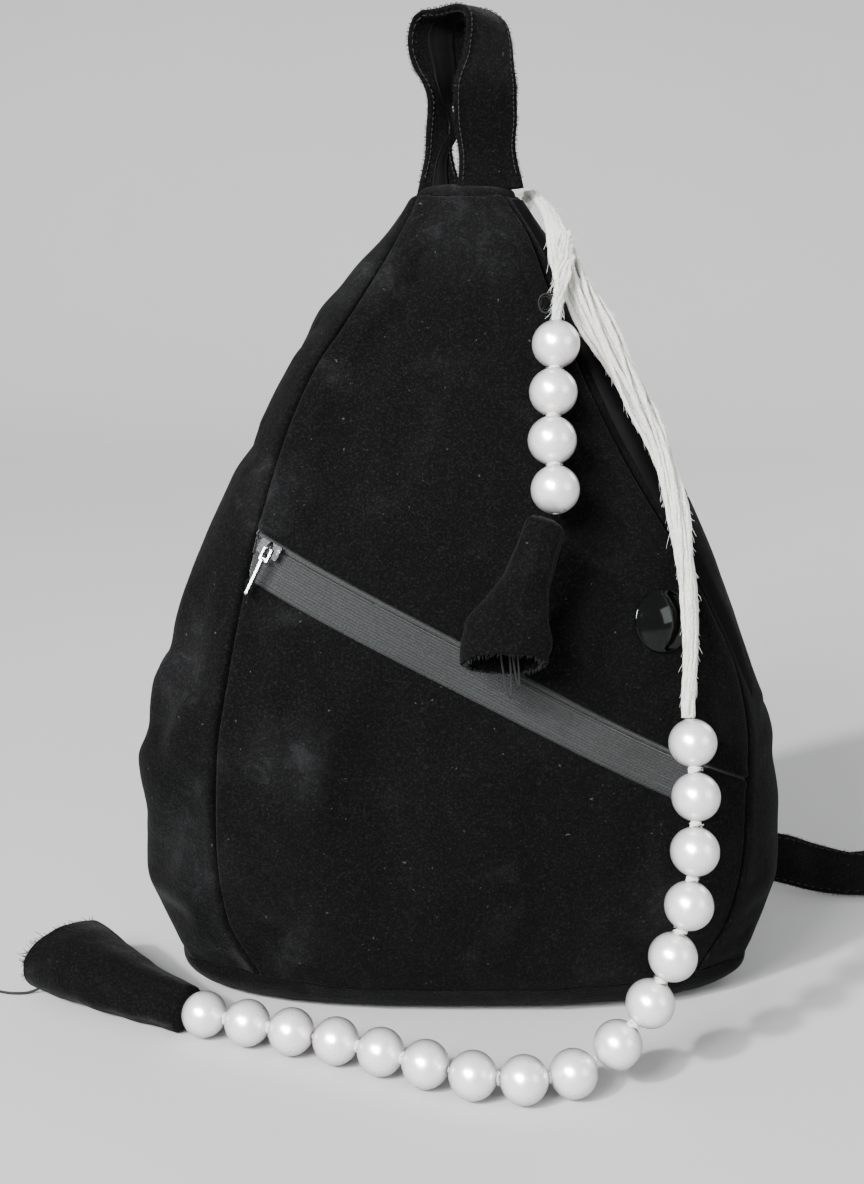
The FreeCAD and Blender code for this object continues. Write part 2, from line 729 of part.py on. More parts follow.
# ---- every piece --------------------------------------------------------------------------------
save("front_upper_panel", front_upper_panel())
save("front_lower_panel", front_lower_panel())
save("back_panel", back_sheet(0, VELVET, PANEL_FOOT, PANEL_HEAD, 0))
save("gusset_left", gusset(-1, left_seam, PANEL_FOOT, PANEL_HEAD, 0, VELVET, 0))
save("gusset_right", gusset(1, right_edge, PANEL_FOOT, PANEL_HEAD, 0, VELVET, 0))
save("base_panel", base_tray())
save("top_panel", top_panel())
save("mouth_facing", mouth_facing().cut(snap_hole()))

save("back_wadding", back_sheet(WADDING_DEPTH, WADDING_DEPTH + WADDING, INNER_FOOT, INNER_HEAD, 3.0))
save("front_wadding", sheet(-1, lambda z: left_seam(z) + 3, lambda z: right_edge(z) - 3,
                            lambda a: INNER_FOOT, along_seams(lambda x: band_foot(x) - 3),
                            WADDING_DEPTH, WADDING_DEPTH + WADDING))
save("base_board", flat_plate(3.0, 6.0, 2.0))
save("lining_front", sheet(-1, lambda z: left_seam(z) + 5, lambda z: fold_line(z) - 6,
                           lambda a: INNER_FOOT, lambda a: FLAP_SWING_TOP,
                           LINING_DEPTH, LINING_DEPTH + LINING))
save("lining_back", back_sheet(LINING_DEPTH, LINING_DEPTH + LINING, INNER_FOOT, INNER_HEAD, 5.0))
save("lining_left", gusset(-1, left_seam, INNER_FOOT, SIDE_HEAD, LINING_DEPTH, LINING_DEPTH + LINING,
                           6.0))
save("lining_right", gusset(1, right_edge, INNER_FOOT, SIDE_HEAD, LINING_DEPTH, LINING_DEPTH + LINING,
                            10.0))

save("pocket_bag", pocket_bag())
save("zip_tape_upper", zip_tape_upper())
save("zip_tape_lower", zip_tape_lower())
save("zip_coils", zip_coils())
save("zip_stops", zip_stops())
save("zip_slider", zip_slider())
save("zip_pull", zip_pull())

save("mouth_flap", mouth_flap_sheet(0, VELVET, 0).cut(snap_hole()))
save("mouth_flap_lining",
     mouth_flap_sheet(WADDING_DEPTH, WADDING_DEPTH + LINING, 2.0).cut(snap_hole()))
save("snap_cap", snap_cap())
save("snap_socket", snap_socket())
save("snap_stud", snap_stud())
save("snap_back_plate", snap_back_plate())

save("grab_loop", grab_loop_layer(LOOP_THICK / 2, -LOOP_THICK / 2, 0))
save("grab_loop_satin", grab_loop_layer(-LOOP_THICK / 2 - 0.4, -LOOP_THICK / 2 - 0.9, 3.0))
save("shoulder_strap", shoulder_strap())
save("strap_tab_top", strap_tab_top())
save("strap_tab_bottom", strap_tab_bottom())

save("yarn_knot", yarn_knot())
save("thread_loop", thread_loop())
save("yarn_long", rod(long_yarn_points(), YARN))
save("yarn_short", rod(short_yarn_points(), YARN * 0.75))

short_pearls = short_pearl_points()
save("short_pearls", pearl_row(short_pearls))
save("short_cord", cord_through(short_pearls, 8.0, 8.0))
save("short_tassel", tassel_skirt(*SHORT_TASSEL))
save("short_tassel_core", tassel_core(*SHORT_TASSEL, 3.0))

long_pearls = long_pearl_points()
groups = {"hanging": long_pearls[:HANGING_COUNT]}
for number, letter in enumerate("abc"):
    first = HANGING_COUNT + number * FLOOR_GROUP
    groups["floor_" + letter] = long_pearls[first:first + FLOOR_GROUP]
for name, points in groups.items():
    save(name + "_pearls", pearl_row(points))
    save(name + "_cord", cord_through(points, 7.9, 7.9))

tassel_heading = unit(V(-0.84, 0.54, 0))
tassel_start = long_pearls[-1] + tassel_heading * 9.2
long_tassel = (tassel_start, tassel_start + tassel_heading * TASSEL_LENGTH,
               V(0.54, 0.84, 0), 42.0, 15.0)
save("long_tassel", tassel_skirt(*long_tassel))
save("long_tassel_core", tassel_core(*long_tassel, 4.0))
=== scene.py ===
import math
import random

import bmesh
import bpy
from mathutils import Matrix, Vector, noise
from mathutils.bvhtree import BVHTree


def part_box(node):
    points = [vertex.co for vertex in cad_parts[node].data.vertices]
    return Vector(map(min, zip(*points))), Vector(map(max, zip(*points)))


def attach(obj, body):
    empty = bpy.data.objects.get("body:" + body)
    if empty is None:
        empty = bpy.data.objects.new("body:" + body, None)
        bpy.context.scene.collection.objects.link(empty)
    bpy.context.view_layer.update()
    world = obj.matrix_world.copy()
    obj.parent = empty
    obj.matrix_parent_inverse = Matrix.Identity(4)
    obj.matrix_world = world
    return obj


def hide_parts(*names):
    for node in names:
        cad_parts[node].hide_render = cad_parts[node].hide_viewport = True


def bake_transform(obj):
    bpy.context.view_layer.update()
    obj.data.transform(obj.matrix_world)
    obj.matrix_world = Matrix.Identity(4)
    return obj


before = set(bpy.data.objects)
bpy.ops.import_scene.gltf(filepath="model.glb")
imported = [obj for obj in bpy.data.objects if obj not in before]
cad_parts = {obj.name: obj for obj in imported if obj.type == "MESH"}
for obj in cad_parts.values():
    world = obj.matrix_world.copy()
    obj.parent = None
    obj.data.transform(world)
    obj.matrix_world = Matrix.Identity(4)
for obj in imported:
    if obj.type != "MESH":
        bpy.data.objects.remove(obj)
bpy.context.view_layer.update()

# A black velvet evening bag: sewn panels over a settled skin, a ribbed zip band, a polished snap,
# yarn-hung pearls and two velvet tassels.  Design sizes below are in millimetres of the bag at its
# drawn height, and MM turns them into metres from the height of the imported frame.

TOP = 286.0                                # design height of the small top panel's underside
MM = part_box("top_panel")[0].z / TOP
HEAD = TOP + 0.4                           # where the wall panels tuck in under the top's edge
BASE_ROUND = 14.0                          # the walls meet the rounded base at this height
SECTION_POWER = 2.5                        # 2 gives an ellipse, larger gives squarer corners
CLOTH = 1.2                                # velvet with its backing
BASE_SEAM = (0.35, 0.08)                   # roll and lip of the seam round the base
FLAP_HEM = (1.3, 0.7)                      # roll and lip of the hems along the zip
ZIP_BAND = 17.0
ZIP_HEAD = 3.4                             # zip slot to the upper edge of the band
SLOT = 2.2                                 # drop of the closing line below the band's upper edge
SNAP_X = 65.5
SNAP_Z = 146.5
SNAP_RADIUS = 10.5
SNAP_RISE = 3.1
SNAP_HOLD = 11.0                           # radius round the snap that does not settle
PEARL = 16.0
PEARL_BORE = 1.15                          # radius of the hole that shows
STRING_RADIUS = 0.75
LOOP_FOOT = TOP + 1.5
LOOP_INSIDE = -1.0                         # which face of the loop's band is its inner one
RIB = 1.06                                 # pitch of the zip tape's cords
STITCH = 1.25                              # pitch of the stitches along a cord
RING = 120                                 # points round the skin that is settled
LEVELS = 60                                # rings of that skin
CAP = 3.0                                  # furthest that settling may move the cloth
SETTLING_FRAMES = 24
SEED = 11
random.seed(SEED)


# ---- shape of the body --------------------------------------------------------------------------
def smooth(points):
    """A monotone curve through (position, value) points, flat beyond both ends."""
    points = sorted(points)
    at = [p[0] for p in points]
    value = [p[1] for p in points]
    last = len(points) - 1
    slope = [(value[i + 1] - value[i]) / (at[i + 1] - at[i]) for i in range(last)]
    tangent = [slope[0]]
    for before, after in zip(slope, slope[1:]):
        same_way = before * after > 0
        tangent.append(2 * before * after / (before + after) if same_way else 0.0)
    tangent.append(slope[-1])

    def curve(x):
        x = min(max(x, at[0]), at[-1])
        i = 0
        while i < last - 1 and at[i + 1] <= x:
            i += 1
        step = at[i + 1] - at[i]
        t = (x - at[i]) / step
        start = value[i] * (1 + 2 * t) * (1 - t) ** 2 + step * tangent[i] * t * (1 - t) ** 2
        finish = value[i + 1] * t * t * (3 - 2 * t) + step * tangent[i + 1] * t * t * (t - 1)
        return start + finish

    return curve


half_width = smooth([(14, 108), (25, 111.5), (33, 114), (45, 117), (70, 117), (95, 115.5),
                     (110, 112), (140, 101.3), (175, 87), (209, 70.5), (238, 54.5), (257, 42.5),
                     (275, 26.5), (288, 17.5)])
lean = smooth([(14, 0), (70, -0.8), (95, -3.8), (143, -4.4), (166, -3.4), (200, -2.7), (244, -2.3),
               (258, -0.5), (288, 0)])
front_line = smooth([(14, -45), (60, -50), (110, -52), (160, -45), (214, -25), (270, 0), (288, 12)])
back_line = smooth([(14, 38), (60, 42), (160, 42), (214, 41), (270, 38), (288, 33)])
left_seam = smooth([(14, -74), (36, -85), (64, -88), (98, -86.5), (126, -82), (152, -77),
                    (182, -70), (208, -62), (228, -53), (244, -42), (266, -28), (288, -16)])
right_edge = smooth([(14, 84), (36, 95), (64, 99), (98, 99), (121, 95.5), (150, 83), (178, 66),
                     (196, 55), (209, 48), (230, 38), (253, 29), (274, 21), (288, 11)])
zip_line = smooth([(-95, 184), (-69, 171.5), (0, 137), (70, 99), (105, 81)])


def fold_line(z):
    """Where the mouth flap bends."""
    return 46.0 + (215.0 - z) * 0.06


def section(z, depth):
    """Half width, middle and half depth of the body at a height, a given depth under the skin."""
    level = max(z, BASE_ROUND)
    rise = max(BASE_ROUND - z, 0.0)
    inset = BASE_ROUND - math.sqrt(max(BASE_ROUND ** 2 - rise ** 2, 0.0))
    front = front_line(level)
    back = back_line(level)
    shrink = inset + depth
    return half_width(level) - shrink, (front + back) / 2, (back - front) / 2 - shrink


def across(x, z, depth, side):
    """Front-to-back coordinate of the skin at (x, z): side -1 is the front, +1 the back."""
    width, middle, reach = section(z, depth)
    fullness = max(1 - abs((x - lean(z)) / width) ** SECTION_POWER, 0.0)
    return middle + side * reach * fullness ** (1 / SECTION_POWER)


def band_top(x):
    return zip_line(x) + ZIP_HEAD


def back_seam(z, side):
    return lean(z) + side * 0.80 * section(z, 0)[0]


# ---- small maths --------------------------------------------------------------------------------
def mix(a, b, t):
    return a + (b - a) * t


def ramp(x, low, high):
    """0 below low, 1 above high, smooth between."""
    t = min(max((x - low) / (high - low), 0.0), 1.0)
    return t * t * (3 - 2 * t)


def bell(x, middle, spread):
    return math.exp(-((x - middle) / spread) ** 2)


def wander(point, scale, seed=0.0):
    """Smooth noise between about -1 and 1 at a design point."""
    return noise.noise(Vector(point) / scale + Vector((seed, seed * 1.7, -seed)))


# ---- meshes -------------------------------------------------------------------------------------
def new_object(name, points, faces):
    """A mesh object from design points."""
    mesh = bpy.data.meshes.new(name)
    mesh.from_pydata([tuple(c * MM for c in p) for p in points], [], faces)
    mesh.validate()
    mesh.polygons.foreach_set("use_smooth", [True] * len(mesh.polygons))
    mesh.update()
    piece = bpy.data.objects.new(name, mesh)
    bpy.context.scene.collection.objects.link(piece)
    return piece


def grid_faces(columns, rows, around=False, start=0):
    """Quads over a grid stored column by column; around closes the rows into rings."""
    faces = []
    for i in range(columns - 1):
        for j in range(rows if around else rows - 1):
            k = (j + 1) % rows
            faces.append((start + i * rows + j, start + (i + 1) * rows + j,
                          start + (i + 1) * rows + k, start + i * rows + k))
    return faces


def add_uv(piece, columns, rows, long_u, long_v):
    """Lays UVs in millimetres over a grid piece, so a weave can follow the cloth."""
    layer = piece.data.uv_layers.new(name="cloth")
    for loop in piece.data.loops:
        i, j = divmod(loop.vertex_index, rows)
        layer.data[loop.index].uv = (long_u * i / (columns - 1), long_v * j / (rows - 1))


def thicken(piece, thickness):
    """Adds cloth thickness inwards from the modelled face."""
    shell = piece.modifiers.new("cloth thickness", "SOLIDIFY")
    shell.thickness = thickness * MM
    shell.offset = -1.0
    shell.use_even_offset = False


def subdivide(piece):
    rounding = piece.modifiers.new("rounding", "SUBSURF")
    rounding.levels = 1
    rounding.render_levels = 1


def finish(piece, body, material, slot, *stands_for):
    """Gives a piece its material and its body, and hides the frame nodes it stands for; the slot argument
    is not used.
    """
    piece.data.materials.clear()
    piece.data.materials.append(material)
    if isinstance(body, str):
        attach(piece, body)
    if stands_for:
        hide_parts(*stands_for)
    return piece


def bend(piece, weight):
    """Bakes a piece's placement into its mesh and works out weight(point), 0 on the first body and 1 on the
    second, at each vertex; the weights are not used.
    """
    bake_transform(piece)
    values = [weight(v.co / MM) for v in piece.data.vertices]
    return piece


def frames_along(points):
    """A turning-free frame (point, tangent, side, normal) at each point of a path."""
    tangents = []
    for i in range(len(points)):
        ahead = points[min(i + 1, len(points) - 1)]
        behind = points[max(i - 1, 0)]
        tangents.append((ahead - behind).normalized())
    side = tangents[0].cross(Vector((0, 0, 1)))
    if side.length < 1e-3:
        side = tangents[0].cross(Vector((0, 1, 0)))
    side.normalize()
    frames = []
    for point, tangent in zip(points, tangents):
        side = (side - tangent * side.dot(tangent)).normalized()
        frames.append((point, tangent, side, tangent.cross(side)))
    return frames


def spline(points, count):
    """Evenly spaced points on a smooth curve through the given points."""
    points = [Vector(p) for p in points]
    dense = []
    for i in range(len(points) - 1):
        p0 = points[max(i - 1, 0)]
        p1, p2 = points[i], points[i + 1]
        p3 = points[min(i + 2, len(points) - 1)]
        for k in range(24):
            t = k / 24
            dense.append(0.5 * ((2 * p1) + (p2 - p0) * t + (2 * p0 - 5 * p1 + 4 * p2 - p3) * t * t
                                + (3 * p1 - p0 - 3 * p2 + p3) * t ** 3))
    dense.append(points[-1])
    lengths = [0.0]
    for a, b in zip(dense, dense[1:]):
        lengths.append(lengths[-1] + (b - a).length)
    result = []
    k = 0
    for i in range(count):
        goal = lengths[-1] * i / (count - 1)
        while k < len(dense) - 2 and lengths[k + 1] < goal:
            k += 1
        span = max(lengths[k + 1] - lengths[k], 1e-9)
        result.append(dense[k].lerp(dense[k + 1], (goal - lengths[k]) / span))
    return result


def circle(centre, axis, height, radius, count):
    """Points round an axis, a height above a centre."""
    side = axis.orthogonal().normalized()
    other = axis.cross(side)
    turns = [2 * math.pi * k / count for k in range(count)]
    return [centre + axis * height + (side * math.cos(a) + other * math.sin(a)) * radius
            for a in turns]


class Gather:
    """Collects many small shapes into one piece."""

    def __init__(self):
        self.verts = []
        self.faces = []

    def tube(self, points, radius, sides=6):
        """A closed tube; radius is a number or a function of the share of its length and the angle."""
        size = radius if callable(radius) else (lambda t, a: radius)
        rings = []
        last = len(points) - 1
        for i, (point, _, side, normal) in enumerate(frames_along(points)):
            ring = []
            for k in range(sides):
                a = 2 * math.pi * k / sides
                r = size(i / last, a)
                ring.append(point + side * (r * math.cos(a)) + normal * (r * math.sin(a)))
            rings.append(ring)
        self.solid(rings)

    def solid(self, rings):
        """A skin over closed rings, with a face across its first and last ring."""
        count = len(rings[0])
        first = len(self.verts)
        self.grid(rings, True)
        last = len(self.verts) - count
        self.faces.append(tuple(first + k for k in range(count)))
        self.faces.append(tuple(last + k for k in reversed(range(count))))

    def grid(self, rows_of_points, around=False):
        count = len(rows_of_points[0])
        self.faces += grid_faces(len(rows_of_points), count, around, len(self.verts))
        for row in rows_of_points:
            self.verts += row

    def piece(self, name):
        return new_object(name, self.verts, self.faces)


# ---- materials ----------------------------------------------------------------------------------
class Look:
    """A small builder for one node material; textures use object coordinates in metres."""

    def __init__(self, name, **inputs):
        self.material = bpy.data.materials.new(name)
        self.material.use_nodes = True
        self.tree = self.material.node_tree
        self.shader = self.tree.nodes["Principled BSDF"]
        self.place = self.add("ShaderNodeTexCoord").outputs["Object"]
        self.set(**inputs)

    def add(self, kind, **settings):
        node = self.tree.nodes.new(kind)
        for key, value in settings.items():
            setattr(node, key, value)
        return node

    def join(self, output, socket):
        self.tree.links.new(output, socket)

    def put(self, socket, value):
        if isinstance(value, bpy.types.NodeSocket):
            self.join(value, socket)
        elif isinstance(value, tuple) and len(value) == 3 and socket.type == "RGBA":
            socket.default_value = value + (1.0,)
        else:
            socket.default_value = value

    def set(self, **inputs):
        for key, value in inputs.items():
            self.put(self.shader.inputs[key.replace("_", " ")], value)

    def grain(self, scale, detail=4.0, roughness=0.55, distortion=0.0):
        node = self.add("ShaderNodeTexNoise")
        self.join(self.place, node.inputs["Vector"])
        for key, value in (("Scale", scale), ("Detail", detail), ("Roughness", roughness),
                           ("Distortion", distortion)):
            node.inputs[key].default_value = value
        return node.outputs["Fac"]

    def math(self, operation, a, b=0.0, c=0.0):
        node = self.add("ShaderNodeMath", operation=operation)
        for socket, value in zip(node.inputs, (a, b, c)):
            self.put(socket, value)
        return node.outputs["Value"]

    def spread(self, value, low, high, to_low=0.0, to_high=1.0):
        node = self.add("ShaderNodeMapRange", interpolation_type="SMOOTHSTEP")
        for socket, number in zip(node.inputs, (value, low, high, to_low, to_high)):
            self.put(socket, number)
        return node.outputs["Result"]

    def blend(self, share, first, second):
        node = self.add("ShaderNodeMix", data_type="RGBA")
        self.put(node.inputs["Factor"], share)
        self.put(node.inputs[6], first)
        self.put(node.inputs[7], second)
        return node.outputs[2]

    def near(self, spot, reach):
        """1 at a design point, fading to 0 at a reach, broken up by grain."""
        node = self.add("ShaderNodeVectorMath", operation="DISTANCE")
        self.join(self.place, node.inputs[0])
        node.inputs[1].default_value = [c * MM for c in spot]
        far = self.math("MULTIPLY_ADD", self.grain(60, 3), 14 * MM, node.outputs["Value"])
        return self.spread(far, (reach + 7) * MM, 9 * MM)

    def facing(self, weight=0.5):
        node = self.add("ShaderNodeLayerWeight")
        node.inputs["Blend"].default_value = weight
        return node.outputs["Facing"]

    def cloth_uv(self):
        node = self.add("ShaderNodeSeparateXYZ")
        self.join(self.add("ShaderNodeUVMap", uv_map="cloth").outputs["UV"], node.inputs["Vector"])
        return node.outputs["X"], node.outputs["Y"]

    def stripes(self, coordinate, pitch):
        """A cosine wave from 0 to 1 along a coordinate."""
        turn = self.math("MULTIPLY", coordinate, 2 * math.pi / pitch)
        return self.math("MULTIPLY_ADD", self.math("COSINE", turn), 0.5, 0.5)

    def bump(self, height, distance_mm, strength=1.0):
        node = self.add("ShaderNodeBump")
        self.join(height, node.inputs["Height"])
        node.inputs["Distance"].default_value = distance_mm * MM
        node.inputs["Strength"].default_value = strength
        if self.shader.inputs["Normal"].is_linked:
            self.join(self.shader.inputs["Normal"].links[0].from_socket, node.inputs["Normal"])
        self.join(node.outputs["Normal"], self.shader.inputs["Normal"])


# Painted sheen: places where the velvet's colour is lightened to stand in for light catching folds and the
# top: design point and reach.
PAINTED_SHEEN_SPOTS = (((-102, -22, 126), 30), ((-2, -4, 281), 34), ((-62, -50, 100), 22),
                 ((-34, 0, 258), 20), ((-70, -30, 190), 22), ((-96, -30, 60), 26),
                 ((70, -48, 40), 22), ((8, 18, 335), 20))


def velvet_look():
    """Black cotton velvet: a deep pile that lightens at grazing angles; its colour lightens at random and
    at painted sheen spots.
    """
    look = Look("velvet", Roughness=0.95, Specular_IOR_Level=0.04, Sheen_Roughness=0.30,
                Sheen_Tint=(0.66, 0.67, 0.68))
    brushed_and_sheen = look.spread(look.grain(26, 4, 0.55, 0.9), 0.53, 0.84)
    rubbed = look.spread(look.grain(110, 4, 0.65, 0.8), 0.46, 0.76)
    pile = look.spread(look.grain(1300, 4, 0.75), 0.46, 0.74)
    lint = look.spread(look.grain(620, 2, 0.5), 0.735, 0.755)
    # Painted highlight: these spots lighten the pile's colour and sheen where light catches folds and the
    # top.
    for spot, reach in PAINTED_SHEEN_SPOTS:
        brushed_and_sheen = look.math("MAXIMUM", brushed_and_sheen, look.near(spot, reach))
    nap_and_sheen = look.math("MULTIPLY", brushed_and_sheen, look.math("MULTIPLY_ADD", rubbed, 0.75, 0.25))
    # The ground and tip colours below lighten with the random pile and with the painted sheen spots.
    ground = look.blend(nap_and_sheen, (0.0013, 0.0013, 0.0014), (0.0150, 0.0153, 0.0160))
    tips = look.math("MULTIPLY", pile, look.math("MULTIPLY_ADD", nap_and_sheen, 0.6, 0.35))
    napped = look.blend(tips, ground, (0.029, 0.0295, 0.031))
    look.set(Base_Color=look.blend(look.math("MULTIPLY", lint, 0.4), napped, (0.10, 0.10, 0.10)))
    look.set(Sheen_Weight=look.math("MULTIPLY_ADD", look.math("MULTIPLY", nap_and_sheen, pile), 0.38, 0.08))
    look.bump(look.grain(150, 3, 0.5, 0.6), 0.6, 0.6)
    look.bump(look.grain(900, 4, 0.75), 0.5, 1.0)
    return look.material


def satin_look():
    """Smooth black satin facing with a faint cross weave."""
    look = Look("satin", Specular_IOR_Level=0.03)
    cloudy = look.grain(45, 3, 0.5)
    look.set(Base_Color=look.blend(cloudy, (0.0016, 0.0016, 0.0018), (0.0040, 0.0040, 0.0044)))
    look.set(Roughness=look.spread(look.grain(300, 4), 0.3, 0.7, 0.52, 0.66))
    look.bump(look.grain(2600, 2, 0.6), 0.05, 0.5)
    look.bump(look.grain(70, 2), 0.4, 0.4)
    return look.material


def tape_look():
    """Knitted zip tape: cords whose stitches show as staggered rows of dark dots."""
    look = Look("zip_tape", Roughness=0.85, Specular_IOR_Level=0.2, Sheen_Weight=0.2,
                Sheen_Roughness=0.5)
    along, over = look.cloth_uv()
    row = look.math("FLOOR", look.math("DIVIDE", over, RIB))
    shifted = look.math("MULTIPLY_ADD", row, STITCH / 2, along)
    knots = look.stripes(shifted, STITCH)
    cords = look.stripes(look.math("ADD", over, RIB / 2), RIB)
    gap = look.math("MULTIPLY_ADD", look.spread(knots, 0.25, 0.8), 0.65, 0.35)
    hole = look.math("MULTIPLY", gap, look.spread(cords, 0.25, 0.8))
    light = look.blend(look.grain(70, 3), (0.027, 0.031, 0.031), (0.040, 0.045, 0.044))
    fibre = look.spread(look.grain(1800, 3), 0.3, 0.7)
    woven = look.blend(fibre, (0.012, 0.0145, 0.0145), light)
    look.set(Base_Color=look.blend(look.math("MULTIPLY", hole, 0.9), woven, (0.003, 0.004, 0.004)))
    look.bump(look.math("SUBTRACT", 1.0, hole), 0.22, 0.9)
    look.bump(look.grain(2200, 3), 0.05, 0.4)
    return look.material


def pearl_look():
    """Coated bead: a silky white body, with painted shade that greys it and darkens it towards the rim as
    seen, faintly lilac.
    """
    look = Look("pearl", Specular_IOR_Level=0.6, Coat_Weight=0.7, Coat_Roughness=0.22,
                Metallic=0.34)
    edge = look.facing(0.44)
    cloudy = look.grain(230, 3, 0.5, 0.8)
    warm = look.spread(look.grain(90, 2), 0.4, 0.62)
    body = look.blend(warm, (0.84, 0.825, 0.82), (0.88, 0.835, 0.815))
    body = look.blend(look.math("MULTIPLY", cloudy, 0.5), body, (0.88, 0.875, 0.89))
    # Painted shade: the colour greys at the shoulder and turns near black at the rim, by how far the
    # surface turns from view.
    shoulder = look.blend(look.spread(edge, 0.15, 0.70), body, (0.50, 0.475, 0.49))
    look.set(Base_Color=look.blend(look.spread(edge, 0.62, 1.0), shoulder, (0.15, 0.14, 0.15)))
    look.set(Roughness=look.spread(look.grain(500, 3), 0.3, 0.7, 0.27, 0.35))
    look.bump(look.grain(330, 3, 0.5), 0.05, 0.3)
    return look.material


def yarn_look():
    """Off-white spun yarn, with painted shade among its fibres."""
    look = Look("yarn", Roughness=0.9, Specular_IOR_Level=0.2, Sheen_Weight=0.5,
                Sheen_Roughness=0.5, Subsurface_Weight=0.15, Subsurface_Scale=1.0 * MM)
    fibre = look.grain(1900, 4, 0.65, 0.4)
    cloudy = look.grain(160, 3)
    wool = look.blend(cloudy, (0.80, 0.785, 0.72), (0.92, 0.905, 0.855))
    # Painted shade: where the fine fibre noise is low the colour drops to a dark warm grey that stands in
    # for shade among the fibres.
    look.set(Base_Color=look.blend(look.spread(fibre, 0.25, 0.6), (0.46, 0.45, 0.39), wool))
    look.bump(fibre, 0.25, 0.8)
    return look.material


def thread_look():
    look = Look("black_thread", Roughness=0.7, Specular_IOR_Level=0.15, Sheen_Weight=0.06)
    fibre = look.grain(2400, 4, 0.6)
    look.set(Base_Color=look.blend(fibre, (0.004, 0.004, 0.005), (0.022, 0.022, 0.024)))
    look.bump(fibre, 0.12, 0.8)
    return look.material


def snap_look():
    """Polished black nickel, dark where it faces you, with a painted highlight that brightens its colour
    round the turned edge.
    """
    look = Look("snap_metal", Metallic=1.0)
    haze = look.grain(420, 4, 0.6, 1.5)
    # Painted highlight: the colour turns bright where the surface turns away from view, round the rim.
    edge = look.spread(look.facing(0.35), 0.42, 0.75)
    dark = look.blend(haze, (0.014, 0.016, 0.015), (0.03, 0.033, 0.032))
    look.set(Base_Color=look.blend(edge, dark, (0.62, 0.61, 0.58)))
    look.set(Roughness=look.spread(look.grain(900, 3), 0.4, 0.75, 0.06, 0.14))
    look.bump(haze, 0.01, 0.2)
    return look.material


def steel_look():
    """Bright pull, rubbed in random patches."""
    look = Look("pull_metal", Metallic=1.0, Roughness=0.28)
    rubbed = look.grain(1400, 4, 0.6, 0.5)
    look.set(Base_Color=look.blend(rubbed, (0.25, 0.255, 0.26), (0.52, 0.53, 0.54)))
    look.set(Roughness=look.spread(rubbed, 0.3, 0.7, 0.22, 0.42))
    look.bump(rubbed, 0.02, 0.4)
    return look.material


def enamel_look():
    """Glossy black slider with small bright painted glints."""
    look = Look("dark_metal", Metallic=0.85, Roughness=0.25, Coat_Weight=0.4)
    # Painted highlight: small bright spots scattered by noise stand in for glints.
    glint_spots = look.spread(look.grain(900, 3, 0.6), 0.62, 0.68)
    look.set(Base_Color=look.blend(glint_spots, (0.012, 0.012, 0.013), (0.32, 0.32, 0.33)))
    look.bump(look.grain(1200, 3), 0.03, 0.4)
    return look.material


def plain_look(name, dark, light, scale, rough):
    """A matte two-tone material for hidden pieces."""
    look = Look(name, Roughness=rough)
    mottle = look.grain(scale, 4)
    look.set(Base_Color=look.blend(mottle, dark, light))
    look.bump(mottle, 0.2, 0.6)
    return look.material


def floor_look():
    look = Look("pale_floor", Roughness=0.75, Specular_IOR_Level=0.2)
    look.set(Base_Color=look.blend(look.grain(6, 2), (0.52, 0.52, 0.52), (0.54, 0.54, 0.54)))
    return look.material


VELVET = velvet_look()
SATIN = satin_look()
TAPE = tape_look()
PEARLY = pearl_look()
WOOL = yarn_look()
THREAD = thread_look()
SNAP = snap_look()
STEEL = steel_look()
ENAMEL = enamel_look()
COIL = plain_look("coil_plastic", (0.010, 0.010, 0.011), (0.03, 0.03, 0.032), 900, 0.45)
WADDING = plain_look("wadding", (0.58, 0.57, 0.55), (0.74, 0.73, 0.71), 300, 0.95)
BOARD = plain_look("board", (0.22, 0.20, 0.17), (0.34, 0.31, 0.27), 200, 0.9)


# ---- the settled skin ---------------------------------------------------------------------------


def ring_point(z, depth, turn):
    """A point on the body's outline at a height, an angle from +X and a depth under the skin."""
    width, middle, reach = section(z, depth)
    power = 2 / SECTION_POWER
    x = lean(z) + width * math.copysign(abs(math.cos(turn)) ** power, math.cos(turn))
    y = middle + reach * math.copysign(abs(math.sin(turn)) ** power, math.sin(turn))
    return Vector((x, y, z))


def ring_points(z, depth, count):
    return [ring_point(z, depth, 2 * math.pi * k / count) for k in range(count)]


def skin_rings():
    """Closed rings of the drawn body, from the base to the top."""
    return [ring_points(TOP * i / (LEVELS - 1), 0, RING) for i in range(LEVELS)]


def seam_distance(p):
    """Distance in millimetres from a skin point to the nearest seam, zip or sewn end."""
    edges = [abs(p.z), abs(TOP - p.z)]
    middle = section(p.z, 0)[1]
    if p.y < middle:
        edges.append(abs(p.x - left_seam(p.z)))
        edges.append(abs(p.x - right_edge(p.z)))
        edges.append(max(abs(p.z - (band_top(p.x) - ZIP_BAND / 2)) - ZIP_BAND / 2, 0.0))
        edges.append(math.hypot(p.x - SNAP_X, p.z - SNAP_Z) - SNAP_HOLD)
    else:
        edges.append(abs(p.x - back_seam(p.z, -1)))
        edges.append(abs(p.x - back_seam(p.z, 1)))
    return max(min(edges), 0.0)


SETTLING = {"quality": 6, "mass": 0.25, "tension_stiffness": 14, "compression_stiffness": 14,
            "shear_stiffness": 6, "bending_stiffness": 6.0, "use_pressure": True,
            "uniform_pressure_force": 1.6, "shrink_min": -0.014, "vertex_group_mass": "held",
            "pin_stiffness": 1.0}


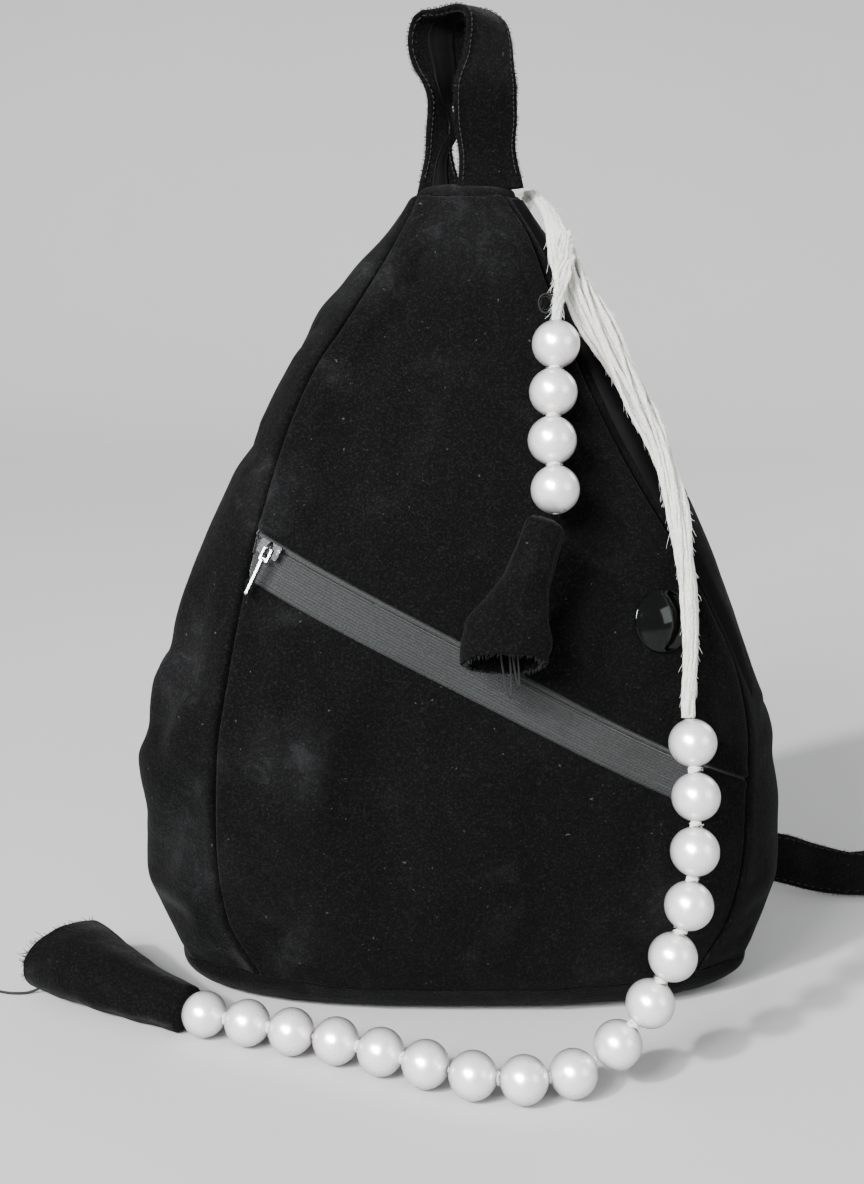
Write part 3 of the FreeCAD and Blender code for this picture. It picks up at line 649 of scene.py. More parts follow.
def settle():
    """Cloth simulation of the whole skin, held at its seams: rest and settled points, and faces."""
    rings = skin_rings()
    verts = [v for ring in rings for v in ring]
    faces = grid_faces(LEVELS, RING, True)
    for ring in (0, LEVELS - 1):
        middle = len(verts)
        verts.append(sum(rings[ring], Vector((0, 0, 0))) / RING)
        for k in range(RING):
            faces.append((ring * RING + k, ring * RING + (k + 1) % RING, middle))
    rest = [v.copy() for v in verts]
    skin = new_object("skin_for_cloth", verts, faces)
    held = skin.vertex_groups.new(name="held")
    for i, v in enumerate(verts):
        held.add([i], 1.0 - ramp(seam_distance(v), 2.0, 16.0), "REPLACE")
    cloth = skin.modifiers.new("cloth", "CLOTH")
    for key, value in SETTLING.items():
        setattr(cloth.settings, key, value)
    cloth.settings.effector_weights.gravity = 0.5
    cloth.point_cache.frame_start = 1
    cloth.point_cache.frame_end = SETTLING_FRAMES
    for number in range(SETTLING_FRAMES):
        bpy.context.scene.frame_set(number + 1)
    graph = bpy.context.evaluated_depsgraph_get()
    done = skin.evaluated_get(graph).to_mesh()
    moved = [v.co / MM for v in done.vertices]
    bpy.data.objects.remove(skin)
    bpy.context.scene.frame_set(1)
    return rest, moved, faces


def capped(shift):
    length = shift.length
    if length < 1e-6:
        return shift
    return shift * (CAP * math.tanh(length / CAP) / length)


class Skin:
    """Carries any design point near the body along with the settled cloth."""

    def __init__(self):
        rest, moved, faces = settle()
        self.rest = rest
        self.shift = [capped(b - a) for a, b in zip(rest, moved)]
        self.faces = []
        for face in faces:
            for k in range(1, len(face) - 1):
                self.faces.append((face[0], face[k], face[k + 1]))
        self.tree = BVHTree.FromPolygons(rest, self.faces)

    def carry(self, p):
        """The settled place of a point, with the pressed-in folds."""
        spot, normal, index, _ = self.tree.find_nearest(p)
        a, b, c = self.faces[index]
        pa, pb, pc = self.rest[a], self.rest[b], self.rest[c]
        whole = (pb - pa).cross(pc - pa).length
        if whole < 1e-6:
            return p.copy()
        wa = (pb - spot).cross(pc - spot).length / whole
        wb = (pc - spot).cross(pa - spot).length / whole
        wc = max(1 - wa - wb, 0.0)
        out = normal if normal.dot(spot - Vector((0, section(spot.z, 0)[1], spot.z))) > 0 else -normal
        shift = self.shift[a] * wa + self.shift[b] * wb + self.shift[c] * wc
        return p + shift + out * folds(spot)


# ---- folds pressed into the cloth ---------------------------------------------------------------
# Each fold: path on the front as (x, z) points, height, spread.  Negative heights are creases.
FRONT_FOLDS = [
    ([(-77, 152), (-71, 138), (-60, 127), (-57, 104), (-61, 84)], -2.0, 4.5),
    ([(-69, 148), (-62, 136), (-50, 124), (-47, 104), (-50, 84)], 1.5, 6.0),
    ([(-116, 136), (-104, 131), (-86, 118)], -1.5, 7.0),
    ([(-116, 124), (-103, 117), (-84, 104)], 1.5, 8.0),
    ([(-112, 100), (-100, 88), (-90, 70)], -1.6, 6.0),
    ([(-30, 96), (-26, 70), (-31, 42)], -1.2, 7.0),
    ([(-14, 92), (-10, 66), (-14, 36)], 1.0, 8.0),
    ([(18, 84), (24, 58), (22, 30)], -1.1, 7.0),
    ([(58, 62), (66, 40), (64, 18)], -1.3, 6.0),
    ([(-58, 40), (-72, 24), (-84, 12)], -1.8, 6.0),
    ([(84, 70), (92, 48), (88, 24)], 1.2, 7.0),
    ([(-12, 282), (-16, 262), (-30, 236), (-38, 210)], -1.2, 5.0),
    ([(2, 284), (6, 262), (6, 236)], -0.9, 5.0),
    ([(-26, 232), (-30, 206), (-28, 180)], 0.9, 8.0),
    ([(44, 168), (34, 152), (30, 138)], -1.0, 6.0),
    ([(84, 140), (74, 128), (60, 122)], -1.2, 5.0),
]


def folds(p):
    """Height of the pressed folds at a skin point."""
    height = 0.6 * wander(p, 24, 3.0) + 0.25 * wander(p, 9, 8.0)
    if p.y < section(p.z, 0)[1] + 12:
        for path, size, spread in FRONT_FOLDS:
            nearest = min(to_segment(p.x, p.z, a, b) for a, b in zip(path, path[1:]))
            if nearest < 3 * spread:
                height += size * math.exp(-(nearest / spread) ** 2)
    return height * ramp(seam_distance(p), 0.5, 9.0)


def to_segment(x, z, a, b):
    dx, dz = b[0] - a[0], b[1] - a[1]
    t = min(max(((x - a[0]) * dx + (z - a[1]) * dz) / (dx * dx + dz * dz), 0.0), 1.0)
    return math.hypot(x - a[0] - dx * t, z - a[1] - dz * t)


SKIN = Skin()


# ---- sewn panels --------------------------------------------------------------------------------
WALL_STEPS = 120                            # even steps from which a wall's columns are chosen
EDGE_STOPS = (0.0, 0.35, 0.9, 1.6, 2.6, 4.0, 5.6)


def front_point(x, z):
    return Vector((x, across(x, z, 0, -1), z))


def skin_normal(x, z, side):
    """Outward direction of the front (-1) or back (+1) skin."""
    step = 0.6
    right = Vector((2 * step, across(x + step, z, 0, side) - across(x - step, z, 0, side), 0))
    up = Vector((0, across(x, z + step, 0, side) - across(x, z - step, 0, side), 2 * step))
    normal = right.cross(up).normalized()
    return normal if normal.y * side > 0 else -normal


def stops(length, count):
    """Fractions of a length, close together near both ends so that a rolled edge shows."""
    low = [edge / length for edge in EDGE_STOPS]
    inner = count - 2 * len(low)
    first, last = low[-1], 1 - low[-1]
    middle = [mix(first, last, (k + 1) / (inner + 1)) for k in range(inner)]
    return low + middle + [1 - t for t in reversed(low)]


def rolled(distance, roll=2.0, lip=0.45):
    """Lift of a sewn edge: it swells a little, then turns down into the seam."""
    lift = lip * bell(distance, roll * 1.25, roll * 1.1)
    if distance < roll:
        lift -= roll - math.sqrt(max(roll ** 2 - (roll - distance) ** 2, 0.0))
    return lift


def sheet(name, across_stops, up_stops, place):
    """A cloth sheet; place(a, b) gives a skin point, its outward normal and its lift."""
    points = []
    for a in across_stops:
        for b in up_stops:
            point, normal, lift = place(a, b)
            points.append(SKIN.carry(point) + normal * lift)
    piece = new_object(name, points, grid_faces(len(across_stops), len(up_stops)))
    add_uv(piece, len(across_stops), len(up_stops), 100, 100)
    return piece


def velvet_finish(piece, body, node, *also):
    thicken(piece, CLOTH)
    subdivide(piece)
    return finish(piece, body, VELVET, "velvet", node, *also)


def height_of(bottom, a):
    """Height of a slanted lower edge at a fraction across the front."""
    z = bottom(0)
    for _ in range(10):
        z = bottom(mix(left_seam(z), right_edge(z), a))
    return z


def front_upper():
    """One sheet from the zip to the top, its free right side standing for the mouth flap."""
    gap = 0.2

    def place(a, b):
        foot = height_of(lambda x: band_top(x) - gap, a)
        z = mix(foot, HEAD, b)
        x = mix(left_seam(z), right_edge(z), a)
        hem = 0.9 * (1 - ramp(right_edge(z) - x, 4.5, 6.5)) * ramp(right_edge(z) - x, 0.0, 1.5)
        lift = rolled(x - left_seam(z), 2.2, 0.9)
        lift += rolled(right_edge(z) - x, 1.5, 0.2) + hem
        lift += rolled((z - foot) * 0.9, *FLAP_HEM)
        lift += rolled(HEAD - z, 1.8, 0.5)
        lift -= 0.5 * bell(right_edge(z) - x, 6.6, 0.9)
        return front_point(x, z), skin_normal(x, z, -1), lift

    piece = sheet("front_upper_velvet", stops(170, 84), stops(180, 86), place)
    bend(piece, flap_share)
    return velvet_finish(piece, None, "front_upper_panel", "mouth_flap")


def flap_share(p):
    """How far a front point follows the mouth flap: none at the zip seam, the fold and the top."""
    beyond_fold = ramp(p.x - fold_line(p.z), -9.0, 7.0)
    above_zip = ramp(p.z - band_top(p.x), 1.0, 34.0)
    below_top = 1 - ramp(p.z, 184.0, 238.0)
    return beyond_fold * above_zip * below_top


def lower_head(x):
    """Upper hem of the lower panel: it rises and covers the tape at the right-hand end."""
    return band_top(x) - mix(ZIP_BAND, 0.6, ramp(x, 74.0, 83.0))


def front_lower():
    def place(a, b):
        head = height_of(lower_head, a)
        z = mix(BASE_ROUND, head, b)
        x = mix(left_seam(z), right_edge(z), a)
        seam = 0.5 + 1.7 * ramp(z, 30, 110)         # the left seam fades towards the base
        lift = rolled(x - left_seam(z), seam, 0.2 * seam)
        lift += rolled(right_edge(z) - x, seam, 0.2 * seam)
        lift += rolled((head - z) * 0.9, *FLAP_HEM) + rolled(z - BASE_ROUND, *BASE_SEAM)
        return front_point(x, z), skin_normal(x, z, -1), lift

    piece = sheet("front_lower_velvet", stops(185, 80), stops(120, 60), place)
    return velvet_finish(piece, "bag", "front_lower_panel")


def back():
    def place(a, b):
        z = mix(BASE_ROUND, HEAD, b)
        left, right = back_seam(z, -1), back_seam(z, 1)
        x = mix(right, left, a)
        lift = rolled(min(x - left, right - x))
        lift += rolled(z - BASE_ROUND, *BASE_SEAM) + rolled(HEAD - z, 1.8)
        return Vector((x, across(x, z, 0, 1), z)), skin_normal(x, z, 1), lift

    piece = sheet("back_velvet", stops(190, 80), stops(272, 110), place)
    return velvet_finish(piece, "bag", "back_panel")


def wall_row(side, edge, count, z):
    """Evenly spaced points round a side wall at one height, with their outward normals."""
    width = section(z, 0)[0]
    sides = [min(abs(x - lean(z)) / width, 1.0) ** (SECTION_POWER / 2)
             for x in (edge(z), back_seam(z, side))]
    first, last = -math.acos(sides[0]), math.acos(sides[1])
    points = []
    for k in range(41):
        turn = mix(first, last, k / 40)
        points.append(ring_point(z, 0, turn if side > 0 else math.pi - turn))
    row = spline(points, count)
    result = []
    for i, p in enumerate(row):
        along = row[min(i + 1, count - 1)] - row[max(i - 1, 0)]
        out = along.cross(Vector((0, 0, 1))).normalized()
        if out.x * side < 0:
            out = -out
        result.append((p, out))
    return result


def gusset(name, side, edge, node, front_sink):
    """A side wall in one sheet from the front seam to the back seam."""
    count, rows = 44, 104
    length, height = 90.0, 270.0                # rough size of the wall, for its edge rows and weave
    around = stops(length, count)
    levels = stops(TOP - BASE_ROUND, rows)
    points = []
    table = {}
    for b in levels:
        z = mix(BASE_ROUND, HEAD, b)
        dense = wall_row(side, edge, WALL_STEPS + 1, z)
        table[b] = [dense[min(int(round(a * WALL_STEPS)), WALL_STEPS)] for a in around]
    order = range(count) if side > 0 else range(count - 1, -1, -1)
    for i in order:
        for b in levels:
            z = mix(BASE_ROUND, HEAD, b)
            p, out = table[b][i]
            from_front = (p - table[b][0][0]).length
            from_back = (p - table[b][-1][0]).length
            lift = rolled(from_front, 2.0, 0.5) + rolled(from_back, 2.0, 0.5)
            lift += rolled(z - BASE_ROUND, *BASE_SEAM) + rolled(HEAD - z, 1.8, 0.3)
            lift -= front_sink(z) * (1 - ramp(from_front, 6.0, 14.0))
            points.append(SKIN.carry(p) + out * lift)
    piece = new_object(name, points, grid_faces(count, rows))
    add_uv(piece, count, rows, length, height)
    return velvet_finish(piece, "bag", node)


def capped_rings(name, rings):
    """A skin over rings whose last ring is filled in with smaller rings and one small face."""
    count = len(rings[0])
    gather = Gather()
    gather.grid(rings, True)
    start = len(gather.verts) - count
    centre = Vector((0, 0, 0))
    for p in gather.verts[start:]:
        centre += p / count
    last = gather.verts[start:]
    inner = start
    for share in (0.75, 0.5, 0.25, 0.08):
        ring = [centre.lerp(p, share) for p in last]
        gather.verts += ring
        gather.faces += grid_faces(2, count, True, inner)
        inner += count
    gather.faces.append(tuple(range(inner, inner + count)))
    return gather.piece(name)


def base():
    """The turned-up bottom, with a little give where it rests."""
    heights = (BASE_ROUND, BASE_ROUND - 0.5, BASE_ROUND - 1.2, 11.0, 9.0, 7.0, 5.2, 3.8, 2.6, 1.6,
               0.9, 0.4, 0.1, 0.0)
    rings = []
    for z in heights:
        ring = []
        for p in ring_points(z, 0, 144):
            out = (p - Vector((0, section(z, 0)[1], p.z))).normalized()
            lift = rolled(BASE_ROUND - z, *BASE_SEAM)
            ring.append(SKIN.carry(p) + out * lift if z > 1.0 else p)
        rings.append(ring)
    piece = capped_rings("base_velvet", rings)
    return velvet_finish(piece, "bag", "base_panel")


def top():
    """The small top, slightly domed, its edge tucked in behind the ends of the walls."""
    steps = ((2.8, -2.6), (2.3, -0.7), (2.4, 0.4), (3.1, 1.2), (4.6, 2.0), (6.6, 2.5), (8.6, 2.7))
    rings = [[p + Vector((0, 0, rise)) for p in ring_points(TOP, depth, 96)] for depth, rise in steps]
    for ring in rings[3:]:
        for p in ring:
            p.z += 0.3 * wander(p, 7, 2.0)
    piece = capped_rings("top_velvet", rings)
    return velvet_finish(piece, "bag", "top_panel")


front_upper()
front_lower()
back()
gusset("left_wall_velvet", -1, left_seam, "gusset_left", lambda z: 0.0)
gusset("right_wall_velvet", 1, right_edge, "gusset_right", lambda z: 1.8 * ramp(z, 108, 130))
base()
top()


# ---- zip band -----------------------------------------------------------------------------------


TAPE_LEFT, TAPE_RIGHT = -74.0, 101.0       # reach of the tape, before it is trimmed to the seams
TAPE_TUCK = 0.4                            # how far the tape stays inside the side seams
TAPE_SINK = 1.15                           # tape under the skin of the velvet


def tape_height(drop):
    """Relief of the tape across its width: two ridges at each edge and ribs between them."""
    height = 0.0
    for ridge in (1.15, 3.15, ZIP_BAND - 2.5, ZIP_BAND - 1.1):
        height += 0.5 * bell(drop, ridge, 0.40)
    if 3.9 < drop < ZIP_BAND - 3.0:
        height += 0.10 * math.cos(2 * math.pi * (drop - 3.9) / RIB) - 0.05
    height -= 0.28 * bell(drop, 10.4, 0.4)
    return height


def tape(name, node, top_drop, foot_drop, rows):
    """One half of the zip tape, tucked under the velvet at its outer edge and at both ends."""
    columns = 150
    points = []
    for i in range(columns):
        for j in range(rows):
            drop = mix(foot_drop, top_drop, j / (rows - 1))
            x = mix(TAPE_LEFT, TAPE_RIGHT, i / (columns - 1))
            for _ in range(6):
                z = band_top(x) - drop
                x = min(max(x, left_seam(z) + TAPE_TUCK), right_edge(z) - TAPE_TUCK)
            z = band_top(x) - drop
            lift = -TAPE_SINK + tape_height(drop)
            lift -= 0.5 * bell(drop, SLOT, 0.35)
            lift -= 1.2 * (1 - ramp(drop, -2.0, 0.2)) + 1.2 * ramp(drop, ZIP_BAND, ZIP_BAND + 2.0)
            points.append(front_point(x, z) + skin_normal(x, z, -1) * lift)
    piece = new_object(name, points, grid_faces(columns, rows))
    add_uv(piece, columns, rows, TAPE_RIGHT - TAPE_LEFT, abs(foot_drop - top_drop))
    thicken(piece, 0.5)
    return finish(piece, "bag", TAPE, "zip_tape", node)


def zip_band():
    tape("zip_tape_upper_knit", "zip_tape_upper", -2.5, SLOT - 0.18, 24)
    tape("zip_tape_lower_knit", "zip_tape_lower", SLOT + 0.18, ZIP_BAND + 2.5, 120)
    for node, material in (("zip_coils", COIL), ("zip_stops", ENAMEL), ("zip_slider", ENAMEL),
                           ("zip_pull", STEEL), ("base_board", BOARD), ("snap_socket", SNAP),
                           ("snap_stud", SNAP), ("snap_back_plate", SNAP)):
        dress(node, material)


def dress(node, material):
    """Gives a carried-over node its material."""
    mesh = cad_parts[node].data
    mesh.materials.clear()
    mesh.materials.append(material)


# ---- snap ---------------------------------------------------------------------------------------
def lathe(name, profile, centre, axis):
    """A turned shape: (radius, height) points spun about an axis, closed at both ends."""
    gather = Gather()
    gather.solid([circle(centre, axis, height, radius, 72) for radius, height in profile])
    return gather.piece(name)


def snap():
    """The polished cap: a shallow dome with a thin rolled rim."""
    centre = front_point(SNAP_X, SNAP_Z)
    axis = skin_normal(SNAP_X, SNAP_Z, -1)
    radius, rise = SNAP_RADIUS, SNAP_RISE
    ball = (radius ** 2 + rise ** 2) / (2 * rise)
    profile = [(1.6, -3.1), (1.6, 0.35), (8.8, 0.35), (9.9, 0.25)]
    for k in range(9):
        a = math.radians(-100 + 25 * k)
        profile.append((radius - 0.32 + 0.42 * math.cos(a), 0.72 + 0.42 * math.sin(a)))
    for k in range(1, 17):
        r = (radius - 0.75) * (1 - k / 17)
        profile.append((r, 0.85 + math.sqrt(ball ** 2 - r ** 2) - (ball - rise)))
    profile.append((0.25, 0.85 + rise))
    piece = lathe("snap_cap_polished", profile, centre, axis)
    finish(piece, "mouth_flap", SNAP, "snap_metal", "snap_cap")


# ---- satin facing and linings -------------------------------------------------------------------
LINING_FOOT = 20.0                         # the linings start this far above the floor
LINING_DEPTH = 5.4                         # linings under the skin, behind the wadding
POCKET_DEPTH = 8.2
WADDING_DEPTH = 2.6
THIN_CLOTH = 0.7                           # lining cloth
FACING_FOOT = 112.0                        # lower end of the facing
FACING_TUCK = 9.0                          # how far the facing runs in behind the free edge
FLAP_MARGIN = 1.6                          # the flap's lining stops short of its edge


def facing():
    """The satin strip that runs out from under the mouth's free edge and over the side wall."""
    width = smooth([(FACING_FOOT, 6), (130, 13), (160, 20), (200, 24), (240, 26), (284, 26)])
    columns, rows = 34, 90
    points = []
    for j in range(rows):
        z = mix(FACING_FOOT, TOP - 1.0, j / (rows - 1))
        row = wall_row(1, right_edge, 61, z)
        step = (row[1][0] - row[0][0]).length
        for i in range(columns):
            s = mix(-FACING_TUCK, min(width(z), step * 60), i / (columns - 1))
            k = max(s, 0.0) / step
            spot, out = row[min(int(k), 59)]
            following = row[min(int(k) + 1, 60)][0]
            point = spot.lerp(following, min(k - int(k), 1.0))
            if s < 0:
                x = right_edge(z) + s
                point, out = front_point(x, z), skin_normal(x, z, -1)
            lift = mix(-3.6, 0.45, ramp(s, -1.5, 9.0))
            lift += 0.22 * math.sin(z / 5.5 + s / 9) * bell(s, 9, 8)
            lift -= 0.30 * bell(width(z) - s, 1.6, 0.5) + 0.25 * bell(width(z) - s, 3.4, 0.5)
            lift -= 0.9 * (1 - ramp(width(z) - s, 0.0, 0.7))
            points.append((i, j, point + out * lift))
    points.sort(key=lambda item: (item[0], item[1]))
    piece = new_object("mouth_facing_satin", [p for _, _, p in points], grid_faces(columns, rows))
    thicken(piece, 0.45)
    subdivide(piece)
    finish(piece, "bag", SATIN, "satin", "mouth_facing")


def flap_lining():
    """Satin behind the mouth flap."""
    def place(a, b):
        foot = height_of(lambda x: band_top(x) + 3.0, a)
        z = mix(foot, 258.0, b)
        x = mix(fold_line(z) - 12.0 if z < 230 else right_edge(z) - 14.0,
                right_edge(z) - FLAP_MARGIN, a)
        x = min(x, right_edge(z) - FLAP_MARGIN)
        lift = -2.5 + 0.25 * wander((x, 0, z), 11, 4.0) + 0.6 * bell(a, 1.0, 0.04)
        return front_point(x, z), skin_normal(x, z, -1), lift

    piece = sheet("mouth_flap_satin", stops(60, 40), stops(150, 70), place)
    bend(piece, flap_share)
    thicken(piece, 0.5)
    finish(piece, None, SATIN, "satin", "mouth_flap_lining")


def lining(name, node, side, left, right, low, high, depth):
    """A loose inner sheet with soft creases."""
    def place(a, b):
        z = mix(low, high, b)
        x = mix(left(z), right(z), a)
        point = Vector((x, across(x, z, depth, side), z))
        lift = 0.7 * wander(point, 19, 6.0) + 0.35 * wander(point, 8, 7.0)
        return point, skin_normal(x, z, side), lift

    piece = sheet(name, stops(150, 44), stops(200, 60), place)
    thicken(piece, THIN_CLOTH)
    return finish(piece, "bag", SATIN, "satin", node)


def side_lining(name, node, side, edge):
    """The lining of one side wall."""
    count, rows, spare = 30, 60, 6              # spare points are dropped at both ends
    levels = [mix(LINING_FOOT, 260.0, j / (rows - 1)) for j in range(rows)]
    walls = [wall_row(side, edge, count + 2 * spare, z)[spare:-spare] for z in levels]
    points = []
    for i in range(count):
        for wall in walls:
            p, out = wall[i if side > 0 else count - 1 - i]
            points.append(p - out * (LINING_DEPTH + 0.5 * wander(p, 15, 5.0)))
    piece = new_object(name, points, grid_faces(count, rows))
    thicken(piece, THIN_CLOTH)
    finish(piece, "bag", SATIN, "satin", node)


def linings():
    lining("lining_front_satin", "lining_front", -1, lambda z: left_seam(z) + 5,
           lambda z: fold_line(z) - 6, LINING_FOOT, 208.0, LINING_DEPTH)
    lining("lining_back_satin", "lining_back", 1, lambda z: back_seam(z, 1) - 5,
           lambda z: back_seam(z, -1) + 5, LINING_FOOT, 268.0, LINING_DEPTH)
    lining("pocket_pouch", "pocket_bag", -1, lambda z: left_seam(z) + 9, lambda z: 38.0, 42.0, 150.0,
           POCKET_DEPTH)
    side_lining("lining_left_satin", "lining_left", -1, left_seam)
    side_lining("lining_right_satin", "lining_right", 1, right_edge)


# ---- pearls -------------------------------------------------------------------------------------
def bead_centres(node, order):
    """Centres of the beads in a frame node, in design millimetres, sorted along the string."""
    shape = bmesh.new()
    shape.from_mesh(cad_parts[node].data)
    bmesh.ops.remove_doubles(shape, verts=shape.verts, dist=1e-6)
    seen = set()
    centres = []
    for seed_vert in shape.verts:
        if seed_vert in seen:
            continue
        group = [seed_vert]
        seen.add(seed_vert)
        for vert in group:
            for edge in vert.link_edges:
                other = edge.other_vert(vert)
                if other not in seen:
                    seen.add(other)
                    group.append(other)
        low = Vector(min(v.co[k] for v in group) for k in range(3))
        high = Vector(max(v.co[k] for v in group) for k in range(3))
        centres.append((low + high) / 2 / MM)
    shape.free()
    return sorted(centres, key=order)


def bead(gather, centre, axis, radius):
    """One bored pearl with eased hole edges."""
    bore = PEARL_BORE
    start = math.asin((bore + 0.35) / radius)
    profile = [(bore, -radius * 0.6), (bore, -radius * 0.93), (bore + 0.1, -radius * 0.968)]
    steps = 26
    for k in range(steps + 1):
        a = mix(start, math.pi - start, k / steps)
        profile.append((radius * math.sin(a), -radius * math.cos(a)))
    profile += [(bore + 0.1, radius * 0.968), (bore, radius * 0.93), (bore, radius * 0.6)]
    count = 40
    first = len(gather.verts)
    rows = [circle(centre, axis, height, radius, count) for radius, height in profile]
    gather.grid(rows, True)
    last = first + (len(rows) - 1) * count
    for k in range(count):
        n = (k + 1) % count
        gather.faces.append((last + k, first + k, first + n, last + n))


STRING_OVERRUN = 3.0                       # the string runs on past the middle of each end pearl
JOINT_KNOT = 0.45                          # size of the knot where two groups hinge


def pearl_string(body, prefix, centres, before, after):
    """The pearls of one rigid group, the yarn through them and its fuzzy knots in the gaps."""
    beads = Gather()
    yarn = Gather()
    chain = [before] + centres + [after]
    for i in range(1, len(chain) - 1):
        axis = (chain[i + 1] - chain[i - 1]).normalized()
        bead(beads, chain[i], axis, PEARL / 2 * (1 + 0.006 * random.uniform(-1, 1)))
    for a, b in zip(chain, chain[1:]):
        if b is not after:
            size = JOINT_KNOT if a is before else 1.0
            knot(yarn, (a + b) / 2, (b - a).normalized(), (b - a).length - PEARL, size)
    string = beads.piece(prefix + "_pearls_coated")
    finish(string, body, PEARLY, "pearl", prefix + "_pearls")
    twist = [centres[0] + (before - centres[0]).normalized() * STRING_OVERRUN] + centres
    twist.append(centres[-1] + (after - centres[-1]).normalized() * STRING_OVERRUN)
    yarn.tube(spline(twist, 60), STRING_RADIUS, 8)
    thread = yarn.piece(prefix + "_yarn_ties")
    finish(thread, body, WOOL, "yarn", prefix + "_cord")


def knot(gather, centre, axis, gap, size):
    """A small wad of yarn wound between two pearls; smaller where the string may bend."""
    side = axis.orthogonal().normalized()
    other = axis.cross(side)
    height = (max(gap, 0.3) / 2 + 0.25) * size
    for turn_number in range(5):
        tilt = random.uniform(-0.5, 0.5)
        phase = random.uniform(0, 6.28)
        radius = random.uniform(1.25, 1.75) * size
        points = []
        for k in range(19):
            a = 2 * math.pi * k / 18 + phase
            rise = height * 0.55 * math.sin(a + tilt * 3) + height * 0.4 * (turn_number - 2) / 2
            points.append(centre + (side * math.cos(a) + other * math.sin(a)) * radius + axis * rise)
        gather.tube(points, 0.42 * size, 6)
    for _ in range(16 if size == 1.0 else 0):
        a = random.uniform(0, 2 * math.pi)
        out = side * math.cos(a) + other * math.sin(a)
        root = centre + out * (1.9 * size) + axis * random.uniform(-height, height) * 0.6
        tip = root + (out + random_direction() * 0.8).normalized() * random.uniform(0.5, 1.3)
        gather.tube([root, (root + tip) / 2 + random_direction() * 0.15, tip], 0.045, 3)


def random_direction():
    return Vector((random.uniform(-1, 1), random.uniform(-1, 1), random.uniform(-1, 1))).normalized()


# ---- yarn ---------------------------------------------------------------------------------------
def ply(gather, points, radius, turns):
    """One spun strand: a tube with three twisted lobes."""
    def lobes(t, a):
        return radius * (1 + 0.18 * math.cos(3 * a - 2 * math.pi * turns * t))

    gather.tube(points, lobes, 12)


def yarn_bundle(name, path, strands, spread, radius, turns, fuzz):
    """Strands that wander round a path within spread(t), with loose fibres."""
    frames = frames_along(path)
    gather = Gather()
    last = len(frames) - 1
    for number in range(strands):
        phase = 2 * math.pi * number / strands + random.uniform(-0.3, 0.3)
        reach = random.uniform(0.45, 1.0) if number else 0.1
        drift = random.uniform(0, 50)
        points = []
        for i, (point, _, side, normal) in enumerate(frames):
            t = i / last
            a = phase + 2 * math.pi * turns * t + 0.8 * noise.noise(Vector((t * 4, drift, 0)))
            wobble = 1 + 0.5 * noise.noise(Vector((t * 7, drift, 9)))
            r = spread(t) * reach * wobble
            points.append(point + side * (r * math.cos(a)) + normal * (r * 0.6 * math.sin(a)))
        ply(gather, points, radius * random.uniform(0.85, 1.1), len(path) / 5.5)
        for _ in range(fuzz):
            loose_fibre(gather, points, radius)
    return gather.piece(name)


def loose_fibre(gather, points, radius):
    """A fine fibre that leaves a strand and drifts beside it."""
    i = random.randrange(2, len(points) - 6)
    along = (points[min(i + 3, len(points) - 1)] - points[i]).normalized()
    out = (random_direction() - along * along.dot(random_direction()) * 0.5).normalized()
    length = random.uniform(2.0, 6.5)
    root = points[i] + out * radius * 0.7
    curl = random_direction() * random.uniform(0.3, 1.0)
    path = []
    for k in range(5):
        t = k / 4
        path.append(root + along * (length * t * 0.8) + out * (length * 0.42 * t)
                    + curl * math.sin(math.pi * t) * 0.7)
    gather.tube(path, lambda t, a: 0.11 * (1 - 0.6 * t), 3)


LONG_YARN = [(21, 37.5, 285.5), (23.0, 33.5, 287.0), (25.0, 28, 286)]
LONG_YARN_OVER = [(28.0, 14, 281.5), (31.0, 2, 273.5)]
LONG_YARN_FRONT = [(34, 262, 9.0), (39.5, 250, 9.5), (48, 236, 9.5), (58, 218, 9), (65.5, 202, 8.5),
                   (70, 186, 8), (72.5, 170, 8), (74, 154, 8), (74.3, 138, 8.5), (73.4, 124, 9.6),
                   (73.2, 117.0, 10.0)]


def in_front(x, z, stand_off):
    return Vector((x, across(x, z, 0, -1) - stand_off, z))


def long_yarn():
    points = [Vector(p) for p in LONG_YARN + LONG_YARN_OVER]
    points += [in_front(*spot) for spot in LONG_YARN_FRONT]
    path = spline(points, 170)

    def spread(t):
        return 1.6 + 3.8 * ramp(t, 0.08, 0.32) * (1 - 0.90 * ramp(t, 0.35, 0.97))

    piece = yarn_bundle("long_yarn_spun", path, 22, spread, 0.76, 1.0, 64)
    bend(piece, lambda p: ramp(-p.y, -34.0, -20.0))
    finish(piece, None, WOOL, "yarn", "yarn_long")


def short_yarn(first_pearl):
    top = first_pearl + Vector((0.2, 3.2, 7.4))
    points = [(33.5, 1.5, 273.5), (33.0, -6.5, 266.5), (31.6, -12.5, 259.0), (30.2, -17.5, 252.0)]
    points.append(tuple(top))
    path = spline(points, 60)
    piece = yarn_bundle("short_yarn_spun", path, 13, lambda t: 2.7 - 1.4 * ramp(t, 0.5, 1.0), 0.68,
                        0.5, 40)
    bend(piece, lambda p: ramp(-p.z, -268.0, -259.0))
    finish(piece, None, WOOL, "yarn", "yarn_short")


def yarn_tie():
    """The knot of yarn behind the top."""
    gather = Gather()
    centre = Vector((21.0, 38.5, 285.0))
    for _ in range(7):
        axis = random_direction()
        side = axis.orthogonal().normalized()
        other = axis.cross(side)
        points = []
        for k in range(31):
            a = 2 * math.pi * k / 24
            points.append(centre + (side * math.cos(a) + other * math.sin(a)) * 3.3
                          + axis * 1.2 * math.sin(a * 0.5))
        ply(gather, points, 1.0, 4)
        for _ in range(10):
            loose_fibre(gather, points, 1.0)
    piece = gather.piece("yarn_tie")
    finish(piece, "bag", WOOL, "yarn", "yarn_knot")


